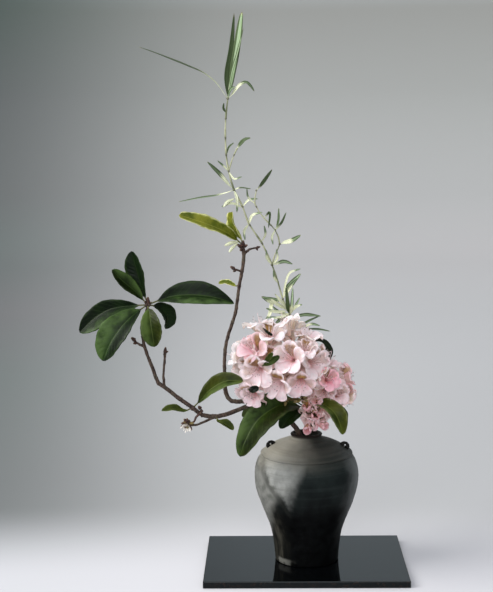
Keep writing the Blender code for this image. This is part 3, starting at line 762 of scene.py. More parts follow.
def add_blade(skin, stations, widest, habit, rng, **marks):
    """Wraps one blade: a row of points over the top and one under it at every station."""
    phase = rng.uniform(0.0, 2 * pi)
    waves = rng.uniform(2.3, 3.4)
    columns = habit["columns"]
    stalk = habit["stalk"]
    wave = habit["wave"]
    rings = []
    last = len(stations) - 1
    for i, (middle, across, up) in enumerate(stations[:-1]):
        share = i / last
        width = half_width(share, widest, habit)
        flat = soft_step(share, habit["petiole"] * 0.6, habit["petiole"] + 0.10)
        ring = []
        for t, top_side in sheet_corners(columns):
            side = 1.0 if t > 0 else -1.0
            ruffle = wave * width * sin(2 * pi * waves * share + phase + 1.3 * side) * t * t
            notch = 1.0 + 0.35 * wave * sin(2 * pi * 2.7 * waves * share + 2.0 * phase * side)
            surface = width * (habit["fold"] * abs(t) ** 1.25 - habit["roll"] * t**4) + ruffle
            thick = habit["thickness"] * (1.0 - 0.6 * abs(t))
            rib = max(0.0, 1.0 - abs(t) * width / (1.6 * MM)) * (1.0 - 0.75 * share)
            if abs(t) < 1.0:
                surface += thick / 2 - 0.30 * MM * rib if top_side else -thick / 2 - 0.75 * stalk * rib
            round_side = sqrt(max(0.0, 1.0 - t * t)) * stalk * 0.9 * (1 if top_side else -1)
            rise = round_side * (1.0 - flat) + surface * flat
            lean = 1.0 + habit["lean"] * side
            ring.append(middle + width * t * notch * lean * across + rise * up)
        rings.append(ring)
    rings.append([stations[-1][0]])
    skin.wrap(rings, sheet_turns(columns), **marks)


def add_flat_blade(skin, points, facing, widest, habit, rng, **marks):
    """A blade without a solid of its own: it runs through the points and looks one way."""
    places = smooth_path(points, 4)
    stations = stations_of(places, [facing] * len(places), 2)
    add_blade(skin, stations, widest, habit, rng, **marks)


print("a ring of three columns goes round by", sheet_turns((-1.0, 0.0, 1.0)))

# %% [markdown]
# ## Rhododendron leaf finish
# The upper face is dark green and waxy, with a yellow green midrib and finer side veins that
# curve forward; the underside is paler and dull. The mark called age warms a leaf from deep
# green to the yellow green of a young one; on the sunlit leaf that warmth is partly painted
# light. The mark called shade is painted shade, which darkens a leaf lying in shadow. The mark
# called lit paints light on one half and shade on the other, the left or the right by its sign.

# %% Rhododendron leaf
LEAF_MARKS = ("age", "shade", "lit")


def rhododendron_leaf():
    finish = Finish("rhododendron_leaf", IOR=1.45, Specular_IOR_Level=0.12)
    turn, run, under, across = finish.sheet()
    age, shade, lit = [finish.mark(name) for name in LEAF_MARKS]
    midrib = across.fall(0.02, 0.06)
    drift = finish.grain(28.0, detail=1.0) * 1.1
    vein_wave = ((run * 12.0 - across * 2.1 + drift) * (2.0 * pi)).sine()
    veins = vein_wave.step(0.88, 1.0) * across.step(0.03, 0.12) * across.fall(0.80, 0.98)
    loose = finish.grain(75.0, detail=1.0)
    puckers = vein_wave * loose.step(0.30, 0.75) * across.step(0.0, 0.2) * across.fall(0.7, 1.0)
    net = finish.grain(520.0, detail=2.0)
    cloud = finish.grain(34.0, detail=3.0)
    deep = finish.mottle(cloud, (0.0014, 0.0062, 0.0006), (0.0125, 0.0370, 0.0040))
    # painted shade: the shade mark darkens the face of a leaf in shadow
    deep = finish.mix(shade, deep, (0.0010, 0.0032, 0.0012))
    warm = finish.mottle(cloud, (0.065, 0.090, 0.006), (0.215, 0.220, 0.022))
    # painted light and shade: by the lit mark one half of the face is paler and the other darker
    painted_light_half = ((turn * 2.0 - 1.0) * lit).step(0.0, 0.5) * cloud.step(0.25, 0.60)
    deep = finish.mix(painted_light_half * 0.8, deep, (0.060, 0.106, 0.028))
    painted_shade_half = ((1.0 - turn * 2.0) * lit).step(0.0, 0.4) * (1.0 - under)
    deep = finish.mix(painted_shade_half * 0.75, deep, (0.0008, 0.0034, 0.0006))
    # age warms a leaf to yellow green; on the sunlit leaf this is partly painted light
    face = finish.mix(age, deep, warm)
    vein = finish.mix(age, (0.045, 0.085, 0.018), (0.36, 0.37, 0.10))
    face = finish.mix(veins * cloud.step(0.3, 0.6) * 0.16, face, vein)
    rim = finish.mix(age, (0.040, 0.075, 0.018), (0.68, 0.68, 0.32))
    crinkle = (across + (finish.grain(120.0, detail=2.0) - 0.5) * 0.5).step(0.72, 0.95)
    face = finish.mix(crinkle * (0.25 + 0.65 * age), face, rim)
    rib = finish.mix(age, (0.070, 0.115, 0.030), (0.42, 0.40, 0.10))
    face = finish.mix(midrib * (1.0 - shade) * 0.40, face, rib)
    back = finish.mottle(cloud, (0.035, 0.060, 0.016), (0.065, 0.095, 0.028))
    back = finish.mix(age, back, (0.40, 0.42, 0.12))
    # painted shade on the underside as well
    back = finish.mix(shade, back, (0.014, 0.024, 0.014))
    back = finish.mix((veins * 0.5).most(midrib) * 0.6, back, (0.11, 0.14, 0.05))
    colour = finish.mix(under, face, back)
    colour = finish.mix(run.fall(0.05, 0.12) * 0.7, colour, (0.13, 0.12, 0.05))
    rough = 0.30 + 0.30 * under + 0.12 * net + 0.06 * veins
    relief = 0.5 * net + 0.45 * puckers - 0.5 * veins
    return finish.done(colour, rough, relief, 0.0004, 0.6)


leaf_finish = rhododendron_leaf()

# %% [markdown]
# ## Rhododendron leaves
# Nineteen leaves: seven in the whorl, three low on the bough, three high on the upright arm
# and six round the blossoms. Each keeps its own line. Its age, its painted shade, which half
# carries painted light and how much broader than its solid it is are listed, and only the wave
# of its margin is drawn by chance.

# %% Rhododendron leaves
LEAF_HABIT = {
    "columns": (-1.0, -0.9, -0.74, -0.55, -0.36, -0.18, -0.07, 0.0, 0.07, 0.18, 0.36, 0.55, 0.74, 0.9, 1.0),
    "stalk": 1.3 * MM, "petiole": 0.09, "thickness": 0.55 * MM, "fold": 0.58, "roll": 0.14, "wave": 0.05,
    "skew": 1.25, "fullness": 0.66, "lean": 0.0,
}
LOPSIDED_HABIT = {**LEAF_HABIT, "lean": -0.34}
YOUNG_HABIT = {**LEAF_HABIT, "wave": 0.10, "skew": 1.1, "fullness": 0.40}
POINTED_HABIT = {**LEAF_HABIT, "skew": 0.95, "fullness": 0.95, "wave": 0.03}
# node: (age, painted shade, which half gets painted light and which painted shade, how much broader than its
# solid)
LEAVES = {
    "whorl_leaf_top": (0.0, 0.80, 0.0, 1.04), "whorl_leaf_folded": (0.03, 0.40, 0.6, 1.08),
    "whorl_leaf_lower_left": (0.0, 0.30, 1.0, 1.16),
    "whorl_leaf_down": (0.10, 0.20, 1.0, 1.12), "whorl_leaf_small": (0.0, 0.70, 0.0, 1.8),
    "bough_leaf_upper": (0.18, 0.0, 1.0, 1.1), "bough_leaf_left": (0.24, 0.0, 0.0, 1.15),
    "bough_leaf_lower": (0.25, 0.0, 0.0, 1.15),
    "collar_leaf_front": (0.0, 0.3, 0.0, 1.1), "collar_leaf_right": (0.30, 0.0, 1.0, 1.20),
    "collar_leaf_back_left": (0.08, 0.3, 0.0, 1.0), "collar_leaf_back_right": (0.08, 0.3, 0.0, 1.0),
    "truss_leaf_arched": (0.0, 1.0, 0.0, 0.70),
}
LOPSIDED_LEAVES = {
    "whorl_leaf_far_left": (0.0, 0.60, -0.35, 1.02), "collar_leaf_left": (0.05, 0.20, 0.7, 1.16),
}
POINTED_LEAVES = {"whorl_leaf_right": (0.0, 0.25, 1.0, 1.25)}
# the sunlit leaf's age is partly painted light
YOUNG_LEAVES = {
    "sunlit_leaf": (0.85, 0.0, 0.0, 1.12), "edge_on_leaf": (0.95, 0.0, 0.0, 2.2),
    "young_leaf": (1.0, 0.0, 0.0, 1.1),
}
LEAF_SPANS = 6
LEAF_SEED = 7
rng = Random(LEAF_SEED)


def show_blade(node, spans, breadth, habit, finish, slot, **marks):
    """The piece that stands for one blade's solid, this many times as broad."""
    stations, widest = blade_stations(node, spans)
    skin = Skin(*marks)
    add_blade(skin, stations, widest * breadth, habit, rng, **marks)
    skin.piece(f"{node}_blade", finish, slot, node)


for leaves, habit, slot in ((LEAVES, LEAF_HABIT, "rhododendron_leaf"),
                            (LOPSIDED_LEAVES, LOPSIDED_HABIT, "rhododendron_leaf"),
                            (POINTED_LEAVES, POINTED_HABIT, "rhododendron_leaf"),
                            (YOUNG_LEAVES, YOUNG_HABIT, "young_rhododendron_leaf")):
    for node, (age, shade, lit, breadth) in leaves.items():
        show_blade(node, LEAF_SPANS, breadth, habit, leaf_finish, slot, age=age, shade=shade, lit=lit)

# %% [markdown]
# ## Wood
# The stems' solids are eight-sided tubes that meet in knots. A voxel remesh melts tubes and
# knots into one skin, smoothing rounds it, and then every point can be pushed in or out a
# little, by whatever grows on that stem.

# %% Stem skins
SMOOTH_ROUNDS = 3


def fine_skin(node, voxel):
    """The node's solid as one rounded mesh of small faces."""
    helper = bpy.data.objects.new("helper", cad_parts[node].data.copy())
    bpy.context.scene.collection.objects.link(helper)
    weld = helper.modifiers.new("weld", "WELD")
    weld.merge_threshold = 1e-5
    remesh = helper.modifiers.new("remesh", "REMESH")
    remesh.mode = "VOXEL"
    remesh.voxel_size = voxel
    smooth = helper.modifiers.new("smooth", "SMOOTH")
    smooth.factor = 0.5
    smooth.iterations = SMOOTH_ROUNDS
    graph = bpy.context.evaluated_depsgraph_get()
    mesh = bpy.data.meshes.new_from_object(helper.evaluated_get(graph))
    bpy.data.objects.remove(helper)
    return mesh


def roughen(mesh, push):
    """Moves every point along its normal by what push says for its place, in metres."""
    moved = []
    for vertex, normal in zip(mesh.vertices, mesh.vertex_normals):
        moved.extend(vertex.co + normal.vector * push(vertex.co))
    mesh.vertices.foreach_set("co", moved)
    mesh.shade_smooth()


print("rounds of smoothing", SMOOTH_ROUNDS)

# %% [markdown]
# ## Bark
# Old rhododendron bark flakes in long ridges, over lumps where leaves once sat. The lumps and
# the broad ridges are real shape, pushed out of the skin. The finest ridges are noise drawn
# out upwards, in the colour and in the relief, and a mossy tint settles in patches.

# %% Bark
def bark_push(place):
    ridges = noise.noise(Vector((place.x * 700.0, place.y * 700.0, place.z * 160.0)))
    lumps = noise.noise(place * 120.0)
    scars = max(0.0, noise.noise(place * 240.0 + Vector((5.0, 1.0, 9.0))) - 0.36)
    return MM * (0.38 + 0.18 * ridges + 0.55 * lumps + 2.2 * scars)


def bark(name, dark, light, moss):
    finish = Finish(name, Specular_IOR_Level=0.25)
    ridges = finish.grain(520.0, (1.0, 1.0, 0.22), detail=4.0)
    patches = finish.grain(60.0, detail=3.0)
    flecks = finish.grain(1100.0, (1.0, 1.0, 0.6), detail=1.0)
    colour = finish.mix(ridges.step(0.36, 0.66), dark, light)
    colour = finish.mix(patches.step(0.52, 0.72) * 0.6, colour, moss)
    colour = finish.mix(flecks.step(0.66, 0.74) * 0.6, colour, (0.24, 0.20, 0.155))
    return finish.done(colour, 0.62 + 0.25 * ridges, ridges + flecks * 0.4, 0.0007, 0.8)


WOOD_VOXEL = 0.8 * MM
# node: (piece, its bark, dark ridges, light ones, moss)
WOODS = {
    "rhododendron_bough": ("bough_wood", "bough_bark", (0.016, 0.009, 0.007), (0.105, 0.070, 0.052),
                           (0.075, 0.072, 0.046)),
    "flowering_sprig": ("sprig_wood", "sprig_bark", (0.016, 0.010, 0.007), (0.090, 0.060, 0.036),
                        (0.070, 0.075, 0.028)),
}
for node, (piece, slot, dark, light, moss) in WOODS.items():
    wood = fine_skin(node, WOOD_VOXEL)
    roughen(wood, bark_push)
    shown(piece, wood, bark(slot, dark, light, moss), slot, node)

# %% [markdown]
# ## Bamboo culm
# The culm is a straw-green cane under four millimetres thick. At each joint stands a raised
# ring, darker than the cane. The rings lie at set heights, because the cane climbs all
# the way, so a point's height is enough to tell how near a ring it is.

# %% Culm
CULM_JOINTS = (0.262, 0.300, 0.345, 0.388, 0.425, 0.452, 0.481, 0.512, 0.543, 0.582, 0.616, 0.650,
               0.680, 0.713, 0.742, 0.772, 0.806, 0.841)


def cane_push(place):
    """The upper culm is wrapped in sheaths, which make it thicker just above every joint."""
    nearest = min(abs(place.z - joint) for joint in CULM_JOINTS)
    above = min(place.z - joint if place.z > joint else 1.0 for joint in CULM_JOINTS)
    ring = max(0.0, 1.0 - nearest / (1.5 * MM))
    sheath = soft_step(place.z, 0.44, 0.60) * (0.50 - 0.4 * soft_step(above, 0.012, 0.024))
    return MM * (0.12 + 0.40 * ring + sheath + 0.05 * noise.noise(place * 400.0))


def culm_cane():
    finish = Finish("bamboo_culm", IOR=1.45)
    z = finish.parts(finish.place())[2]
    ring = z * 0.0
    for joint in CULM_JOINTS:
        ring = ring.most((z - joint).size().fall(0.0012, 0.0030))
    fibres = finish.grain(900.0, (1.0, 1.0, 0.05), detail=2.0)
    patches = finish.grain(42.0, detail=2.0)
    colour = finish.mix(patches.step(0.35, 0.65), (0.110, 0.130, 0.055), (0.400, 0.410, 0.260))
    colour = finish.mix(fibres.step(0.45, 0.70) * 0.35, colour, (0.46, 0.46, 0.32))
    colour = finish.mix(ring * patches.step(0.25, 0.45) * 0.7, colour, (0.050, 0.044, 0.026))
    return finish.done(colour, 0.36 + 0.2 * fibres, fibres, 0.0003, 0.5)


CANE_VOXEL = 0.55 * MM
culm_mesh = fine_skin("bamboo_culm", CANE_VOXEL)
roughen(culm_mesh, cane_push)
shown("culm_cane", culm_mesh, culm_cane(), "bamboo_culm", "bamboo_culm")

# %% [markdown]
# ## Bamboo leaf finish
# The bamboo is variegated: lengthwise stripes of cream and green on thin papery blades. The
# stripes follow the chart across the blade, and the mark called cream says how much of the
# blade is pale.

# %% Bamboo leaf
BAMBOO_MARKS = ("cream", "mint")


def bamboo_leaf():
    finish = Finish("bamboo_leaf", IOR=1.4, Specular_IOR_Level=0.3)
    turn, run, under, across = finish.sheet()
    cream, mint = [finish.mark(name) for name in BAMBOO_MARKS]
    stripes = finish.grain(1.0, detail=2.0, place=finish.joined(turn * 9.0, run * 0.8, cream * 7.0))
    ribs = finish.grain(1.0, detail=1.0, place=finish.joined(turn * 60.0, run * 1.5))
    green = finish.mix(ribs.step(0.4, 0.6), (0.034, 0.056, 0.020), (0.085, 0.125, 0.050))
    straw = finish.mix(ribs.step(0.4, 0.6), (0.54, 0.58, 0.36), (0.80, 0.81, 0.62))
    soft_green = finish.mix(stripes.step(0.4, 0.6), (0.20, 0.30, 0.15), (0.40, 0.50, 0.33))
    middle = mint * (across + (stripes - 0.5) * 0.7).fall(0.35, 0.55)
    colour = finish.mix(middle, green, soft_green)
    pale = (cream - run + (stripes - 0.5) * 0.45).step(-0.06, 0.08)
    colour = finish.mix(pale, colour, straw)
    colour = finish.mix(run.step(0.94, 1.0) * 0.5, colour, (0.30, 0.24, 0.10))
    colour = finish.mix(under * 0.2, colour, (0.30, 0.36, 0.24))
    relief = ribs + 0.5 * across.fall(0.0, 0.12)
    return finish.done(colour, 0.42 + 0.15 * ribs, relief, 0.0002, 0.5)


bamboo_finish = bamboo_leaf()

# %% [markdown]
# ## Bamboo leaves
# Thirteen blades have solids of their own. They are narrow and papery, with hardly any
# stalk, so a flatter and thinner habit than the rhododendron's makes them. The tall top
# blade is more like a strap: it keeps its width for longer.

# %% Bamboo leaves
BLADE_HABIT = {
    "columns": (-1.0, -0.72, -0.40, -0.12, 0.0, 0.12, 0.40, 0.72, 1.0),
    "stalk": 0.6 * MM, "petiole": 0.05, "thickness": 0.22 * MM, "fold": 0.34, "roll": 0.04, "wave": 0.03,
    "skew": 0.9, "fullness": 0.72, "lean": 0.0,
}
STRAP_HABIT = {**BLADE_HABIT, "skew": 0.95, "fullness": 0.42}
BAMBOO_SPANS = 5
# node: (how far up the blade is cream, how mint green its middle is, breadth against its solid)
BAMBOO_LEAVES = {
    "bamboo_leaf_top": (0.05, 1.0, 0.80), "bamboo_leaf_top_left": (0.38, 0.0, 1.35),
    "bamboo_leaf_top_right": (0.55, 0.3, 1.15), "bamboo_leaf_upper": (0.1, 0.0, 1.2),
    "bamboo_leaf_middle_left": (0.45, 0.2, 1.1), "bamboo_leaf_middle_low": (0.25, 0.3, 1.2),
    "bamboo_leaf_branchlet": (0.15, 0.0, 1.0), "bamboo_leaf_bend": (0.10, 0.2, 1.1),
    "bamboo_leaf_elbow": (0.55, 0.4, 1.0), "bamboo_leaf_fork": (0.30, 0.5, 1.1),
    "bamboo_leaf_slant": (0.50, 0.9, 1.0), "bamboo_leaf_left": (0.70, 0.9, 1.0),
    "bamboo_leaf_skirt": (0.12, 0.4, 1.0),
}
for node, (cream, mint, breadth) in BAMBOO_LEAVES.items():
    habit = STRAP_HABIT if node == "bamboo_leaf_top" else BLADE_HABIT
    show_blade(node, BAMBOO_SPANS, breadth, habit, bamboo_finish, "bamboo_leaf", cream=cream, mint=mint)

# %% [markdown]
# ## Small bamboo blades
# Between the named blades hang many smaller ones, some no more than slips. They are gathered
# in four groups: low, middle and high on the culm, and beside the top blade. Each runs
# through three or four places, and a list of such rows makes one piece.

# %% Small bamboo blades
def gather_blades(name, rows, habit, finish, slot, *marks):
    """One piece of many blades, each by its way points, half width, facing and marks."""
    skin = Skin(*marks)
    for points, widest, facing, *values in rows:
        add_flat_blade(skin, in_metres(points), Vector(facing), widest * MM, habit, rng,
                       **dict(zip(marks, values)))
    skin.piece(name, finish, slot)


# group: (way points in millimetres, half width, way the face looks, cream, mint)
SMALL_BLADES = {
    "low_small_blades": [
        ([(-24, 50, 453), (-40, 50, 476), (-75, 40, 487)], 3.4, (0.1, -0.7, 0.7), 0.6, 0.8),
        ([(-37, 52, 481), (-55, 50, 474), (-61, 30, 456), (-71, 20, 443)], 3.6, (-0.2, -0.8, 0.5), 0.8, 0.6),
        ([(-24, 51, 452), (-28, 40, 470), (-31, 40, 505)], 4.0, (0.2, -1.0, 0.1), 0.05, 0.0),
        ([(-24, 51, 452), (-21, 30, 470), (-19, 30, 506)], 3.2, (-0.3, -1.0, 0.1), 0.5, 1.0),
        ([(-37, 53, 481), (-27, 50, 506), (-5, 45, 525)], 3.0, (-0.5, -0.75, 0.4), 0.35, 0.3),
        ([(-37, 53, 482), (-25, 50, 527), (-4, 45, 537)], 2.6, (-0.5, -0.75, 0.4), 0.8, 0.8),
        ([(-10, 49, 426), (4, 46, 438), (31, 45, 451)], 2.8, (0.0, -0.6, 0.8), 0.1, 0.3),
        ([(-10, 49, 425), (25, 45, 426), (49, 45, 422)], 2.8, (0.0, -0.5, 0.85), 0.2, 0.2),
        ([(-10, 49, 424), (14, 40, 436), (30, 34, 434)], 3.0, (0.0, -0.7, 0.7), 0.5, 0.6),
        ([(-24, 51, 452), (-44, 44, 458), (-56, 36, 470)], 3.2, (0.3, -0.8, 0.5), 0.5, 0.9),
        ([(-24, 51, 452), (-38, 42, 448), (-54, 30, 436)], 3.2, (0.2, -0.8, 0.6), 0.3, 0.9),
        ([(-24, 51, 452), (-14, 42, 470), (-6, 36, 486)], 2.4, (-0.5, -0.8, 0.3), 0.5, 0.9),
        ([(-10, 49, 425), (2, 38, 408), (8, 28, 392)], 3.0, (0.6, -0.8, 0.0), 0.1, 0.0),
        ([(-45, 55, 510), (-52, 48, 520), (-54, 42, 536)], 2.4, (0.5, -0.8, 0.2), 0.6, 0.8),
        ([(-30, 46, 462), (-48, 36, 474), (-62, 30, 486)], 3.6, (0.2, -0.8, 0.5), 0.9, 0.9),
        ([(-30, 46, 460), (-50, 34, 460), (-68, 28, 468)], 3.2, (0.1, -0.8, 0.5), 0.8, 0.9),
        ([(-28, 46, 460), (-40, 34, 478), (-52, 30, 494)], 3.0, (0.4, -0.8, 0.3), 0.95, 0.9),
        ([(-26, 44, 456), (-44, 30, 450), (-66, 24, 452)], 3.0, (0.0, -0.8, 0.6), 0.7, 0.9),
        ([(-24, 44, 452), (-34, 28, 446), (-48, 22, 450)], 2.6, (0.0, -0.8, 0.6), 0.2, 0.0),
        ([(-22, 44, 458), (-12, 32, 470), (-2, 30, 474)], 2.8, (-0.3, -0.8, 0.4), 0.85, 0.9),
    ],
    "middle_small_blades": [
        ([(-123, 41, 680), (-118, 34, 664), (-118, 30, 640)], 3.0, (0.4, -0.9, 0.0), 0.8, 0.8),
        ([(-108, 45, 650), (-96, 38, 662), (-80, 34, 664)], 2.4, (0.0, -0.8, 0.6), 0.6, 0.6),
        ([(-97, 50, 618), (-90, 42, 634), (-72, 36, 640)], 3.0, (0.0, -0.8, 0.6), 0.7, 0.8),
        ([(-108, 45, 648), (-128, 38, 656), (-146, 34, 650)], 2.6, (0.0, -0.8, 0.6), 0.75, 0.8),
        ([(-75, 53, 585), (-68, 46, 600), (-70, 42, 616)], 2.6, (0.6, -0.8, 0.0), 0.6, 0.7),
        ([(-56, 55, 543), (-66, 46, 558), (-66, 40, 572)], 2.6, (0.6, -0.8, 0.0), 0.7, 0.8),
        ([(-50, 36, 608), (-38, 32, 622), (-30, 30, 640)], 2.2, (-0.4, -0.9, 0.1), 0.3, 0.0),
        ([(-97, 50, 618), (-106, 40, 606), (-104, 34, 590)], 2.8, (0.5, -0.8, 0.1), 0.7, 0.8),
        ([(-70, 32, 630), (-60, 28, 640), (-62, 26, 612)], 2.4, (0.5, -0.8, 0.1), 0.2, 0.0),
        ([(-86, 30, 656), (-98, 28, 668), (-100, 26, 684)], 2.0, (0.6, -0.8, 0.1), 0.5, 0.5),
        ([(-50, 36, 608), (-56, 32, 596), (-54, 30, 582)], 2.4, (0.5, -0.8, 0.1), 0.7, 0.8),
        ([(-56, 55, 543), (-46, 46, 556), (-48, 40, 574)], 2.4, (-0.5, -0.8, 0.1), 0.7, 0.8),
    ],
    "high_small_blades": [
        ([(-136, 36, 742), (-131, 34, 756), (-122, 32, 764)], 1.8, (-0.4, -0.9, 0.1), 0.1, 0.0),
        ([(-135, 32, 817), (-140, 30, 824), (-139, 28, 834)], 2.4, (0.6, -0.8, 0.0), 0.0, 0.0),
        ([(-132, 38, 713), (-140, 34, 722), (-152, 30, 733)], 1.9, (0.3, -0.9, 0.3), 0.6, 0.5),
        ([(-132, 30, 841), (-127, 25, 856), (-119, 22, 862)], 3.0, (-0.6, -0.8, 0.0), 0.0, 0.5),
        ([(-132, 38, 713), (-122, 34, 700), (-108, 32, 704)], 1.8, (-0.3, -0.9, 0.3), 0.7, 0.6),
        ([(-123, 41, 680), (-112, 36, 684), (-92, 30, 682)], 1.4, (0.0, -0.8, 0.5), 0.4, 0.0),
    ],
    "top_companion_blades": [
        ([(-132, 30, 842), (-134, 32, 880), (-126, 30, 925), (-119, 28, 989)],
         5.6, (0.5, -0.85, 0.0), 0.03, 0.0),
        ([(-132, 30, 842), (-124, 22, 885), (-112, 20, 925), (-103, 18, 962)],
         3.0, (-0.7, -0.7, 0.0), 0.1, 0.6),
    ],
}
for name, blades in SMALL_BLADES.items():
    gather_blades(name, blades, BLADE_HABIT, bamboo_finish, "bamboo_leaf", *BAMBOO_MARKS)
print("bamboo blades", len(BAMBOO_LEAVES) + sum(len(blades) for blades in SMALL_BLADES.values()))

# %% [markdown]
# ## Petal finish
# Petals are pale pink with a deeper throat and faint darker veins, and almost white at the
# rim. The upper petal carries a flare of olive freckles, and the back is creamier. Light
# soaks in, so the shader has some subsurface scatter, and light that has passed through
# many petals could be traced, but a faint glow is quicker. Blush deepens a whole flower.

# %% Petals
PETAL_MARKS = ("blush", "flare")


def petal():
    # a little warm light of its own stands in for what passes from petal to petal
    finish = Finish("petal", IOR=1.35, Subsurface_Weight=0.42, Subsurface_Radius=(0.8, 0.5, 0.45),
                    Subsurface_Scale=0.007, Emission_Color=(1.0, 0.70, 0.50, 1.0), Emission_Strength=0.04)
    turn, run, under, across = finish.sheet()
    blush, flare = [finish.mark(name) for name in PETAL_MARKS]
    veins = finish.grain(1.0, detail=2.0, place=finish.joined(turn * 16.0, run * 1.2, blush * 5.0))
    cloud = finish.grain(90.0, detail=2.0)
    pale = finish.mix(blush, (0.985, 0.91, 0.94), (0.96, 0.45, 0.55))
    pink = finish.mix(blush, (0.975, 0.74, 0.82), (0.90, 0.24, 0.36))
    throat = finish.mix(blush, (0.92, 0.56, 0.48), (0.72, 0.14, 0.19))
    colour = finish.mix((cloud + (1.0 - run) * 0.9 - 0.45).step(0.25, 0.85), pale, pink)
    colour = finish.mix(veins.step(0.50, 0.68) * run.fall(0.7, 1.0) * 0.45, colour, pink)
    colour = finish.mix(run.fall(0.15, 0.42) * 0.85, colour, throat)
    freckles = finish.grain(620.0, detail=1.0).step(0.46, 0.54)
    blotch = flare * across.fall(0.46, 0.94) * run.step(0.12, 0.34) * run.fall(0.68, 0.90)
    olive = finish.mix(cloud.step(0.35, 0.65), (0.085, 0.030, 0.0), (0.235, 0.115, 0.004))
    colour = finish.mix(blotch * (0.86 + 0.14 * freckles), colour, olive)
    rim = (run.step(0.90, 1.0) * 0.45).most(across.step(0.85, 1.0) * 0.3)
    colour = finish.mix(rim, colour, (0.95, 0.88, 0.90))
    colour = finish.mix(under * (1.0 - blush) * 0.5, colour, (0.985, 0.85, 0.68))
    rough = 0.48 + 0.1 * cloud
    relief = veins * 0.8 + finish.grain(700.0, detail=1.0) * 0.3
    return finish.done(colour, rough, relief, 0.0004, 0.5)


petal_finish = petal()

# %% [markdown]
# ## Corollas
# A corolla is five petals grown together into a funnel, which then open and overlap like
# tiles. Each is a thin skin of its own laid round the flower's axis: narrow in the tube,
# broad and ruffled at the lobe. The first petal looks up and carries the flare, and the two
# beside it carry a fainter one.

# %% Corollas
PETAL_COLUMNS = (-1.0, -0.86, -0.66, -0.42, -0.2, 0.0, 0.2, 0.42, 0.66, 0.86, 1.0)
# from throat to rim: (radius, height over the face, half width), in shares of the flower's radius
OPEN_PETAL = [(0.06, -1.02, 0.05), (0.09, -0.88, 0.075), (0.18, -0.66, 0.14), (0.31, -0.42, 0.25),
              (0.46, -0.20, 0.40), (0.63, -0.05, 0.52), (0.81, 0.02, 0.54), (0.96, -0.01, 0.40),
              (1.05, -0.06, 0.07)]
SHUT_PETAL = [(0.14, -2.55, 0.10), (0.20, -2.20, 0.15), (0.36, -1.70, 0.26), (0.55, -1.10, 0.42),
              (0.74, -0.55, 0.56), (0.86, -0.12, 0.62), (0.86, 0.22, 0.52), (0.76, 0.46, 0.34),
              (0.62, 0.58, 0.06)]
PETALS = 5
OPEN_RADIUS = 29.0 * MM
SHUT_RADIUS = 9.0 * MM
PETAL_HALF = 0.16 * MM  # half its thickness


def add_corolla(skin, face, axis, radius, profile, rng, ruffle, blush):
    """Wraps the five petals of one flower that looks along the axis."""
    sky = Vector((0.0, -0.25, 1.0))
    dorsal = (sky - sky.dot(axis) * axis).normalized()
    spin = rng.uniform(-0.35, 0.35)
    strength = rng.uniform(0.95, 1.20)
    lines = smooth_path(profile, 2)
    last = len(lines) - 1
    for number, turn in enumerate(angles(PETALS)):
        phase = rng.uniform(0.0, 2 * pi)
        reach = rng.uniform(0.92, 1.08)
        droop = rng.uniform(-0.10, 0.10)
        middle_way = Quaternion(axis, spin + turn) @ dorsal
        rings = []
        for i, (out, height, width) in enumerate(lines):
            share = i / last
            lobe = soft_step(share, 0.35, 0.9)
            ring = []
            for t, top_side in sheet_corners(PETAL_COLUMNS):
                curl = ruffle * lobe * sin(2 * pi * (0.9 * share + 0.55 * t) + phase) * (0.3 + abs(t))
                curl += ruffle * 0.5 * lobe * sin(9.0 * t + 3.0 * phase)
                tile = 0.05 * t * soft_step(share, 0.1, 0.5)
                crease = -0.05 * lobe * (1.0 - abs(t)) ** 3
                cup = 0.10 * lobe * t * t
                lift = height + droop * lobe * lobe + curl + tile + crease + cup
                swing = min(width / max(out, 0.05), 0.95) * t
                notch = 1.0 - 0.05 * lobe * (1.0 - abs(t)) ** 6
                reach_here = out * (1.0 + (reach - 1.0) * lobe) * notch
                way = Quaternion(axis, swing) @ middle_way
                thick = 0.0 if abs(t) == 1.0 else PETAL_HALF * (1 if top_side else -1)
                # on the tube the skin's thickness points outwards, on the lobe along the axis
                upward = (axis * lobe - way * (1.0 - lobe)).normalized()
                ring.append(face + radius * (reach_here * way + lift * axis) + thick * upward)
            rings.append(ring)
        flare = strength if number == 0 else (0.55 * strength if number in (1, PETALS - 1) else 0.1)
        skin.wrap(rings, sheet_turns(PETAL_COLUMNS), blush=blush, flare=flare)


print("points on one open petal", (2 * len(OPEN_PETAL) - 1) * len(sheet_corners(PETAL_COLUMNS)))

# %% [markdown]
# ## Blossoms
# Nineteen blossoms are open and four only half open. A blossom's solid says where its
# pedicel starts and which way its face looks, and the corolla is laid round that axis. The
# size of an open one is drawn by chance, and how deep a pink it is comes from a list.

# %% Blossoms
FACE_RING = 5
HALF_OPEN = range(1, 5)
FLOWER_SEED = 23


def flower_axis(node):
    """Where a blossom's pedicel starts, the middle of its open face, and the way it looks."""
    rings = rings_of(node, FLOWER_CORNERS)
    start, face = middle_of(rings[0]), middle_of(rings[FACE_RING])
    return start, face, (face - start).normalized()


def show_blossom(node, radius, profile, ruffle, blush, slot):
    axes[node] = flower_axis(node)
    face, axis = axes[node][1:]
    skin = Skin(*PETAL_MARKS)
    add_corolla(skin, face, axis, radius, profile, rng, ruffle, blush)
    skin.piece(f"{node}_corolla", petal_finish, slot, node)


